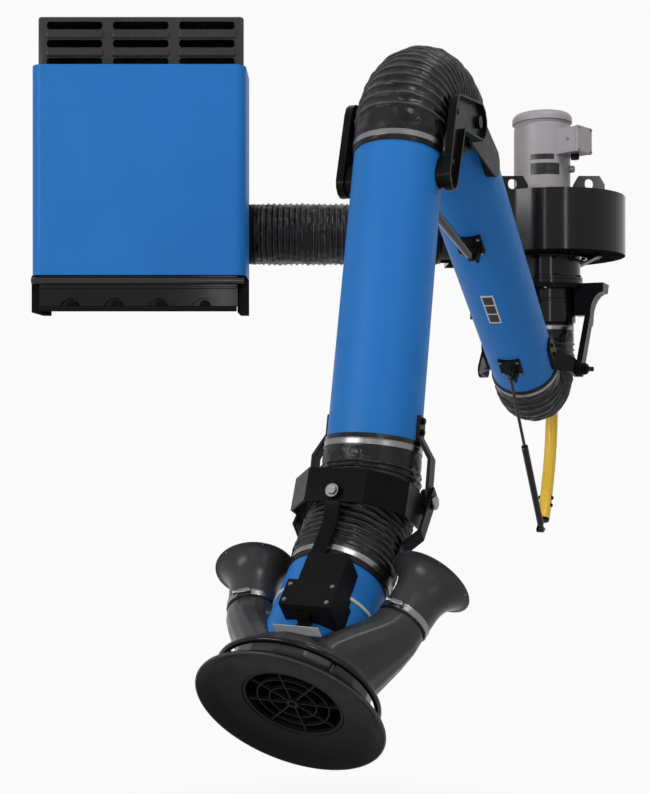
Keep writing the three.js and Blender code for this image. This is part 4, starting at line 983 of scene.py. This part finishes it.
class EXTRACTOR_OT_blower(bpy.types.Operator):
    """Makes the blower: scroll drum, motor, terminal box, inlet pipe, impeller and wall bracket"""

    bl_idname = "extractor.blower"
    bl_label = "Blower"

    def execute(self, context):
        # The drum's undersides in matt: painted shade.
        shade_undersides(dressed("scroll_housing", "black_gloss", 0.0012, 30, slot="black_paint"))
        self.motor()
        self.terminals()
        dressed("impeller", "fan_metal", 0.0005)
        dressed("wall_bracket", "black_paint", 0.0012)
        self.inlet()
        spots = around(0.190, -0.0885, 10, (0, 0, -1)) + around(0.139, -0.0975, 12, (0, 0, -1), 0.13)
        spots += around(0.131, -0.1598, 8, (0, 0, 1), 0.2)
        fasteners("blower_bolts", 0.0062, BLOWER, spots, "base", "black_paint")
        spots = around(0.101, 0.1186, 4, (0, 0, 1), 0.4)
        fasteners("motor_bolts", 0.0055, BLOWER, spots, "base")
        spots = [((x, -0.0085, z), (0, -1, 0)) for x in (-0.165, 0.165) for z in (-0.24, -0.07, 0.075)]
        fasteners("wall_bolts", 0.011, BASE, spots, "base")
        return {"FINISHED"}

    def motor(self):
        """The motor with its cap, two bare plates and drain plug."""
        low = 0.1083
        line = [(0, low), (0.108, low), (0.108, low + 0.010), (0.096, low + 0.011), (0.094, low + 0.016)]
        line += [(0.094, 0.348), (0.0915, 0.351), (0.0915, 0.355), (0.094, 0.358), (0.094, 0.362)]
        body = soften(turned("motor_body_round", line + [(0, 0.362)]), 0.0008)
        stand_for("motor_body", moved(body, BLOWER), "motor_grey")
        top = 0.396
        dome = [(0, 0.3623), (0.0985, 0.3623), (0.100, 0.364), (0.100, top - 0.022)]
        for i in range(1, 9):
            angle = i * pi / 16
            dome.append((0.100 - 0.022 * (1 - cos(angle)), top - 0.022 + 0.022 * sin(angle)))
        dome += [(0.055, top), (0.05, top - 0.001), (0, top - 0.001)]
        cap = smooth(turned("motor_cap_round", dome), 40)
        stand_for("motor_cap", moved(cap, BLOWER), "motor_grey")
        for name, low, high, stop in (("upper", 0.228, 0.246, -76), ("lower", 0.178, 0.216, -64)):
            plate = curved_plate(f"name_plate_{name}", 0.0936, low, high, radians(-124), radians(stop))
            settle(moved(plate, BLOWER), "base", "motor_grey", finish="dark_label")
        line = [(0, 0.090), (0.012, 0.090), (0.012, 0.106), (0.008, 0.110), (0, 0.110)]
        plug = soften(turned("drain_plug", line, 24), 0.001)
        at = BLOWER @ shift(0, 0, 0.205) @ spun(radians(-22), "Z")
        settle(moved(plug, at @ spun(pi / 2, "Y")), "base", "motor_grey")

    def terminals(self):
        """The terminal box with its lid, lid screws and cable gland."""
        at = BLOWER @ spun(radians(-45), "Z")
        lid = soften(brick("terminal_lid", (0.157, -0.0436, 0.2424), (0.1678, 0.0436, 0.3296)), 0.003, 3)
        gland = soften(barrel("gland", 0.014, 0.226, 0.246, 12), 0.0015)
        moved(gland, shift(0.130, 0, 0))
        also = [painted(moved(lid, at), "motor_grey"), painted(moved(gland, at), "black_plastic")]
        dressed("terminal_box", "motor_grey", 0.002, also=also)
        spots = [((0.1678, y, z), (1, 0, 0)) for y in (-0.036, 0.036) for z in (0.25, 0.322)]
        spots.append(((0.128, -0.0421, 0.290), (0, -1, 0)))
        fasteners("terminal_screws", 0.0042, at, spots, "base")

    def inlet(self):
        """The stepped inlet pipe under the drum."""
        top = -0.0883
        low = -0.170
        line = [(0.1055, top), (0.150, top), (0.150, top - 0.009), (0.128, top - 0.009)]
        line += [(0.127, top - 0.011), (0.127, low + 0.012), (0.128, low + 0.010), (0.135, low + 0.010)]
        line += [(0.135, low), (0.1055, low), (0.1055, top)]
        pipe = soften(turned("inlet_pipe_round", line), 0.0012, 3)
        stand_for("inlet_pipe", moved(pipe, BLOWER), "black_paint", "black_gloss")


class EXTRACTOR_OT_swivel(bpy.types.Operator):
    """Makes the swivel: collar, cast yoke, support bar and shoulder knob"""

    bl_idname = "extractor.swivel"
    bl_label = "Swivel"

    def execute(self, context):
        r = sizes().tube_radius
        top = -0.1703
        rim = COLLAR_BOTTOM + 0.0003
        low = COLLAR_BOTTOM - TUBE_TUCK
        bore = r - 0.004
        line = [(bore, top + 0.034), (r, top + 0.034), (r, top), (0.135, top), (0.135, top - 0.0138)]
        line += [(0.112, top - 0.0138), (0.112, -0.232), (0.1135, -0.234), (0.1135, -0.240)]
        line += [(0.112, -0.242), (0.112, rim), (r, rim), (r, low), (bore, low), (bore, top + 0.034)]
        collar = soften(turned("swivel_collar_round", line), 0.001, 2)
        stand_for("swivel_collar", moved(collar, ARM), "black_paint", "black_gloss")
        dressed("swivel_yoke", "black_paint", 0.003, 34)
        self.support()
        self.knob()
        spots = around(0.142, -0.1996, 6, (0, 0, -1), 0.3)
        fasteners("yoke_bolts", 0.0055, ARM, spots, "swivel")
        return {"FINISHED"}

    def support(self):
        """The yellow bar, bent down to the lower spring's foot, with its plug, tab and cross bolts."""
        end = (-0.021, -0.974)
        knots = [(-0.1435, -0.2003), (-0.1435, -0.430), (-0.1475, -0.620), (-0.1215, -0.760)]
        spots = through([*knots, (-0.0675, -0.890), end], 16)
        long = sum(hypot(b[0] - a[0], b[1] - a[1]) for a, b in zip(spots, spots[1:]))
        steps = 60
        line = [(0, 0)] + [(0.021, long * i / steps) for i in range(steps + 1)] + [(0, long)]
        bar = turned("support_bar_round", line, 32)
        follow(bar, drawn([(x, 0, z) for x, z in spots]))
        painted(smooth(bar, 40), "yellow_paint")
        lean = shift(end[0], 0, end[1]) @ spun(radians(180 - 29), "Y")
        plug = moved(soften(barrel("bar_plug", 0.0195, -0.004, 0.009, 32), 0.0025, 3), lean)
        outline = [(-0.022, -0.985), (-0.014, -0.975), (0.006, -0.998), (0.0155, -1.004)]
        outline += [(0.0155, -1.013), (0.009, -1.0185), (0.001, -1.0185), (-0.005, -1.012)]
        tab = soften(slab("bar_tab", [(x, -0.016, z) for x, z in outline], (0, 0.007, 0)), 0.001)
        pin = smooth(moved(barrel("bar_pin", 0.005, -0.018, 0.012, 24), shift(*SPRING_FOOT) @ LAID))
        also = [painted(plug, "black_plastic"), painted(tab, "black_paint"), painted(pin, "steel")]
        stand_for("support_bar", moved(merged(bar.name, [bar, *also]), ARM), "yellow_paint")
        spots = []
        for x, z in ((-0.0585, -0.906), (-0.046, -0.930)):
            spots += [((x, y, z), (0, y, 0)) for y in (-0.0205, 0.0205)]
        fasteners("bar_bolts", 0.0062, ARM, spots, "swivel", "black_paint")

    def knob(self):
        """The winged shoulder knob on its threaded stem."""
        low = 0.1703
        stem = barrel("knob_stem", 0.008, 0.138, low + 0.022, 24)
        line = [(0, low), (0.019, low), (0.019, low + 0.010), (0.013, low + 0.018), (0, low + 0.018)]
        hub = soften(turned("knob_hub", line, 32), 0.0015)
        half = [(0.012, 0.019), (0.030, 0.0297), (0.040, 0.027), (0.040, 0.016), (0.016, 0.006)]
        both = [(-x, z) for x, z in half[3:1:-1]] + [(-0.030, 0.0297), (-0.012, 0.019), *half]
        outline = [(x, -0.0075, low + z) for x, z in [*both, (-0.016, 0.006)]]
        wing = soften(slab("knob_wings", outline, (0, 0.015, 0)), 0.003, 3)
        piece = merged("shoulder_knob_winged", [hub, smooth(stem), wing])
        at = ARM @ shift(0.165, 0, -0.470) @ LAID
        stand_for("shoulder_knob", moved(piece, at), "black_plastic")


class EXTRACTOR_OT_arm_plates(bpy.types.Operator):
    """Dresses the plates, links, brackets and straps of the arm"""

    bl_idname = "extractor.arm_plates"
    bl_label = "Arm plates"

    def execute(self, context):
        for node in ("spring_plate_lower", "spring_plate_upper", "spring_plate_outer"):
            dressed(node, "black_paint", 0.0012)
        for kind in ("shoulder_plate", "elbow_link", "elbow_bracket", "hood_strap", "neck_strap"):
            for side, _ in SIDES:
                dressed(f"{kind}_{side}", "black_paint", 0.0018)
        dressed("hood_bail", "black_paint", 0.0015)
        face = 0.1085
        spots = [((face, y, z), (1, 0, 0)) for y in (-0.027, 0.027) for z in (0.104, 0.158)]
        spots += [((face, y, z), (1, 0, 0)) for y in (-0.026, 0.032) for z in (0.647, 0.701)]
        fasteners("spring_plate_screws", 0.0038, INNER, spots, "inner_arm")
        spots = [((face, y, z), (1, 0, 0)) for y in (-0.026, 0.032) for z in (0.016, 0.074)]
        fasteners("outer_plate_screws", 0.0038, OUTER, spots, "outer_arm")
        spots = []
        bracket = ((0, 0.062), (0.004, 0.016), (0.018, -0.112))
        for _, sign in SIDES:
            spots += [((x, sign * 0.1243, z), (0, sign, 0)) for x, z in bracket]
            spots += [((0, sign * 0.1076, OUTER_LENGTH - d), (0, sign, 0)) for d in (0.046, 0.022)]
        fasteners("outer_bolts", 0.0065, OUTER, spots, "outer_arm", "black_paint")
        spots = [((0, sign * 0.1086, z), (0, sign, 0)) for _, sign in SIDES for z in (0.060, 0.104)]
        fasteners("shoulder_bolts", 0.0065, INNER, spots, "inner_arm", "black_paint")
        spots = [((0, sign * 0.114, NECK_TOP + 0.028), (0, sign, 0)) for _, sign in SIDES]
        fasteners("neck_bolts", 0.0055, HOOD, spots, "hood_frame", "black_paint")
        tilted = HOOD @ spun(BAIL_TILT, "Y")
        fasteners("bail_bolt", 0.0105, tilted, [((-0.195, 0, 0.0435), (-1, 0, 0))], "hood_frame")
        return {"FINISHED"}


class EXTRACTOR_OT_springs(bpy.types.Operator):
    """Makes the two gas springs"""

    bl_idname = "extractor.springs"
    bl_label = "Gas springs"

    def execute(self, context):
        lower_stud = INNER @ Vector((STUD_OFF, 0, 0.112))
        self.spring("lower", ARM @ Vector(SPRING_FOOT), lower_stud, 0.376)
        upper_foot = INNER @ Vector((STUD_OFF, 0.008, 0.655))
        self.spring("upper", upper_foot, OUTER @ Vector((STUD_OFF, 0.008, 0.030)), 0.330)
        return {"FINISHED"}

    def spring(self, name, foot, tip, cylinder):
        """A cylinder on its eye, and the rod that slides in it."""
        along = (tip - foot).normalized()
        across = ARM.to_3x3() @ Vector((0, 1, 0))
        turn = Matrix((across.cross(along), across, along)).transposed().to_4x4()
        at = shift(*foot) @ turn
        long = (tip - foot).length
        line = [(0, 0.006), (0.007, 0.006), (0.007, 0.018), (0.0095, 0.021), (0.011, 0.026)]
        line += [(0.011, cylinder - 0.014), (0.0102, cylinder - 0.013)]
        line += [(0.0102, cylinder - 0.010), (0.011, cylinder - 0.009)]
        line += [(0.011, cylinder - 0.002), (0.0085, cylinder), (0, cylinder)]
        eye = moved(soften(ring(f"{name}_eye", 0.0055, 0.011, -0.0075, 0.0075, 32), 0.0012), LAID)
        body = merged(f"{name}_spring_cylinder_round", [soften(turned(name, line, 40), 0.0008), eye])
        stand_for(f"{name}_spring_cylinder", moved(body, at), "black_paint", "black_gloss")
        rod = smooth(barrel(f"{name}_spring_rod_round", 0.005, cylinder - 0.148, long - 0.004, 24))
        head = moved(soften(ring(f"{name}_tip", 0.0042, 0.009, -0.005, 0.005, 32), 0.001), LAID)
        moved(head, shift(0, 0, long))
        rod = moved(merged(rod.name, [rod, head]), at)
        stand_for(f"{name}_spring_rod", rod, "black_paint", "dark_rod")


class EXTRACTOR_OT_hood(bpy.types.Operator):
    """Makes the hood: plenum, horns, control box, disc, grille, handle and knob"""

    bl_idname = "extractor.hood"
    bl_label = "Hood"

    def execute(self, context):
        self.knob()
        self.plenum()
        for side, sign in SIDES:
            self.horn(side, sign)
        self.box()
        self.disc()
        self.grille()
        self.handle()
        return {"FINISHED"}

    def knob(self):
        """The round hood knob on its stem."""
        out = 0.137
        stem = barrel("knob_stem", 0.008, 0.117, out + 0.008, 24)
        line = [(0, out + 0.0063), (0.012, out + 0.0063), (0.015, out + 0.008), (0.015, out + 0.013)]
        grip = soften(turned("knob_grip", line + [(0.012, out + 0.0157), (0, out + 0.0157)], 32), 0.0008)
        piece = merged("hood_knob_round", [grip, smooth(stem)])
        stand_for("hood_knob", moved(piece, HOOD @ LAID), "steel")

    def plenum(self):
        """The moulded body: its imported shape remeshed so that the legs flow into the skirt."""
        piece = twin_of("plenum")
        modify(piece, "REMESH", mode="VOXEL", voxel_size=0.0028)
        modify(piece, "SMOOTH", factor=0.5, iterations=14)
        painted(smooth(piece, 60), "hood_shell")
        stand_for("plenum", piece, "black_plastic")

    def horn(self, side, sign):
        """A bell with a rolled rim and small rim screws."""
        wall = 0.0035
        bell = [(0.050 + 0.028 * t ** 3.2, 0.030 + 0.078 * t) for t in (i / 14 for i in range(15))]
        rim = [(0.0825, 0.1086), (0.0838, 0.1092), (0.0840, 0.1106), (0.0832, 0.1118), (0.0815, 0.112)]
        inner = [(r - wall, z + 0.0038) for r, z in reversed(bell)]
        line = [(0.0465, 0.0003), (0.050, 0.0003), *bell, *rim, *inner, (0.0465, 0.0003)]
        piece = smooth(turned(f"horn_{side}_bell", line, 80), 40)
        at = horn_frame(sign)
        stand_for(f"horn_{side}", moved(piece, at), "black_plastic", "hood_shell")
        spots = around(0.0795, 0.1088, 6, (0, 0, -1), 0.5)
        fasteners(f"horn_{side}_screws", 0.0022, at, spots, "hood")

    def box(self):
        """The control box, its corner screws, and the bracket and bare plate under it."""
        dressed("control_box", "black_plastic", 0.0035, 34)
        spots = [((-0.1475, y, s), (-1, 0, 0)) for y in (-0.013, 0.071) for s in (0.350, 0.386)]
        fasteners("box_screws", 0.0032, HOOD, spots, "hood")
        leg = [(-0.1015, 0.398), (-0.130, 0.398), (-0.130, 0.402), (-0.108, 0.406)]
        leg += [(-0.108, 0.470), (-0.1015, 0.470)]
        bracket = slab("plate_bracket", [(x, 0.008, s) for x, s in leg], (0, 0.026, 0))
        settle(moved(soften(bracket, 0.0012), HOOD), "hood", "black_paint")
        plate = brick("bare_plate", (-0.1345, -0.024, 0.4325), (-0.1085, 0.066, 0.4335))
        settle(moved(soften(plate, 0.0004), HOOD), "hood", "steel", finish="pale_seal")
        fasteners("plate_bolt", 0.006, HOOD, [((-0.1085, 0.021, 0.422), (-1, 0, 0))], "hood")

    def disc(self):
        """The dished front disc with a lighter rim ring that is a painted highlight."""
        line = [(0.0978, 0.505), (0.152, 0.505), (0.166, 0.5125), (0.178, 0.522), (0.1815, 0.5255)]
        line += [(0.182, 0.528), (0.1805, 0.5298), (0.177, 0.5295), (0.163, 0.5185), (0.150, 0.511)]
        line += [(0.103, 0.511), (0.099, 0.510), (0.0978, 0.508), (0.0978, 0.505)]
        piece = smooth(turned("front_disc_round", line, 144), 34)
        # A lighter ring round the edge: painted highlight.
        painted_highlight = [(0.1806 + 0.0018 * cos(t * pi / 6), 0.5284 + 0.0018 * sin(t * pi / 6)) for t in range(13)]
        rim = painted(smooth(turned("disc_rim", painted_highlight, 144)), "hood_shell")
        piece = merged(piece.name, [painted(piece, "black_plastic"), rim])
        stand_for("front_disc", moved(piece, HOOD), "black_plastic")

    def grille(self):
        """Rings, a hub and deep spokes."""
        parts = [ring("grille_rim", 0.0915, 0.0975, 0.499, 0.5085, 96)]
        for r in (0.0455, 0.0695):
            parts.append(ring("grille_ring", r - 0.0015, r + 0.0015, 0.499, 0.5065, 72))
        parts.append(ring("grille_hub", 0.006, 0.012, 0.499, 0.509, 32))
        spoke = brick("grille_spoke", (0.010, -0.0016, 0.499), (0.0945, 0.0016, 0.507))
        parts += repeated(spoke, [spun(i * pi / 4, "Z") for i in range(8)])
        piece = merged("intake_grille_round", [soften(part, 0.0005, 1) for part in parts])
        stand_for("intake_grille", moved(piece, HOOD), "black_plastic")

    def handle(self):
        """The hoop behind the disc on four short posts."""
        big, small, s = 0.154, 0.0065, 0.480
        loop = [(big + small * cos(a), s + small * sin(a)) for a in (i * pi / 8 for i in range(17))]
        hoop = smooth(turned("ring_handle_round", loop, 128), 60)
        post = smooth(barrel("post", 0.0055, s, NECK_END - 0.0003, 20))
        moved(post, shift(big - 0.007, 0, 0))
        posts = repeated(post, [spun(pi / 4 + i * pi / 2, "Z") for i in range(4)])
        piece = moved(merged(hoop.name, [hoop, *posts]), HOOD)
        stand_for("ring_handle", piece, "black_paint", "black_gloss")


OPERATORS = (
    EXTRACTOR_OT_stage,
    EXTRACTOR_OT_tubes,
    EXTRACTOR_OT_hoses,
    EXTRACTOR_OT_clamps,
    EXTRACTOR_OT_cabinet,
    EXTRACTOR_OT_blower,
    EXTRACTOR_OT_swivel,
    EXTRACTOR_OT_arm_plates,
    EXTRACTOR_OT_springs,
    EXTRACTOR_OT_hood,
)


class EXTRACTOR_PT_panel(bpy.types.Panel):
    """Lists the extractor's settings and pieces"""

    bl_label = "Fume extractor"
    bl_idname = "EXTRACTOR_PT_panel"
    bl_space_type = "VIEW_3D"
    bl_region_type = "UI"
    bl_category = "Extractor"

    def draw(self, context):
        for group in (context.scene.extractor_sizes, context.scene.extractor_colours):
            for key in group.__annotations__:
                self.layout.prop(group, key)
        for piece in OPERATORS:
            self.layout.operator(piece.bl_idname)


CLASSES = (ExtractorSizes, ExtractorColours, *OPERATORS, EXTRACTOR_PT_panel)


def register():
    for each in CLASSES:
        bpy.utils.register_class(each)
    bpy.types.Scene.extractor_sizes = bpy.props.PointerProperty(type=ExtractorSizes)
    bpy.types.Scene.extractor_colours = bpy.props.PointerProperty(type=ExtractorColours)


def unregister():
    del bpy.types.Scene.extractor_colours
    del bpy.types.Scene.extractor_sizes
    for each in reversed(CLASSES):
        bpy.utils.unregister_class(each)


def main():
    register()
    bpy.ops.extractor.stage()
    bpy.ops.extractor.tubes()
    bpy.ops.extractor.hoses()
    bpy.ops.extractor.clamps()
    bpy.ops.extractor.cabinet()
    bpy.ops.extractor.blower()
    bpy.ops.extractor.swivel()
    bpy.ops.extractor.arm_plates()
    bpy.ops.extractor.springs()
    bpy.ops.extractor.hood()


if __name__ == "__main__":
    main()
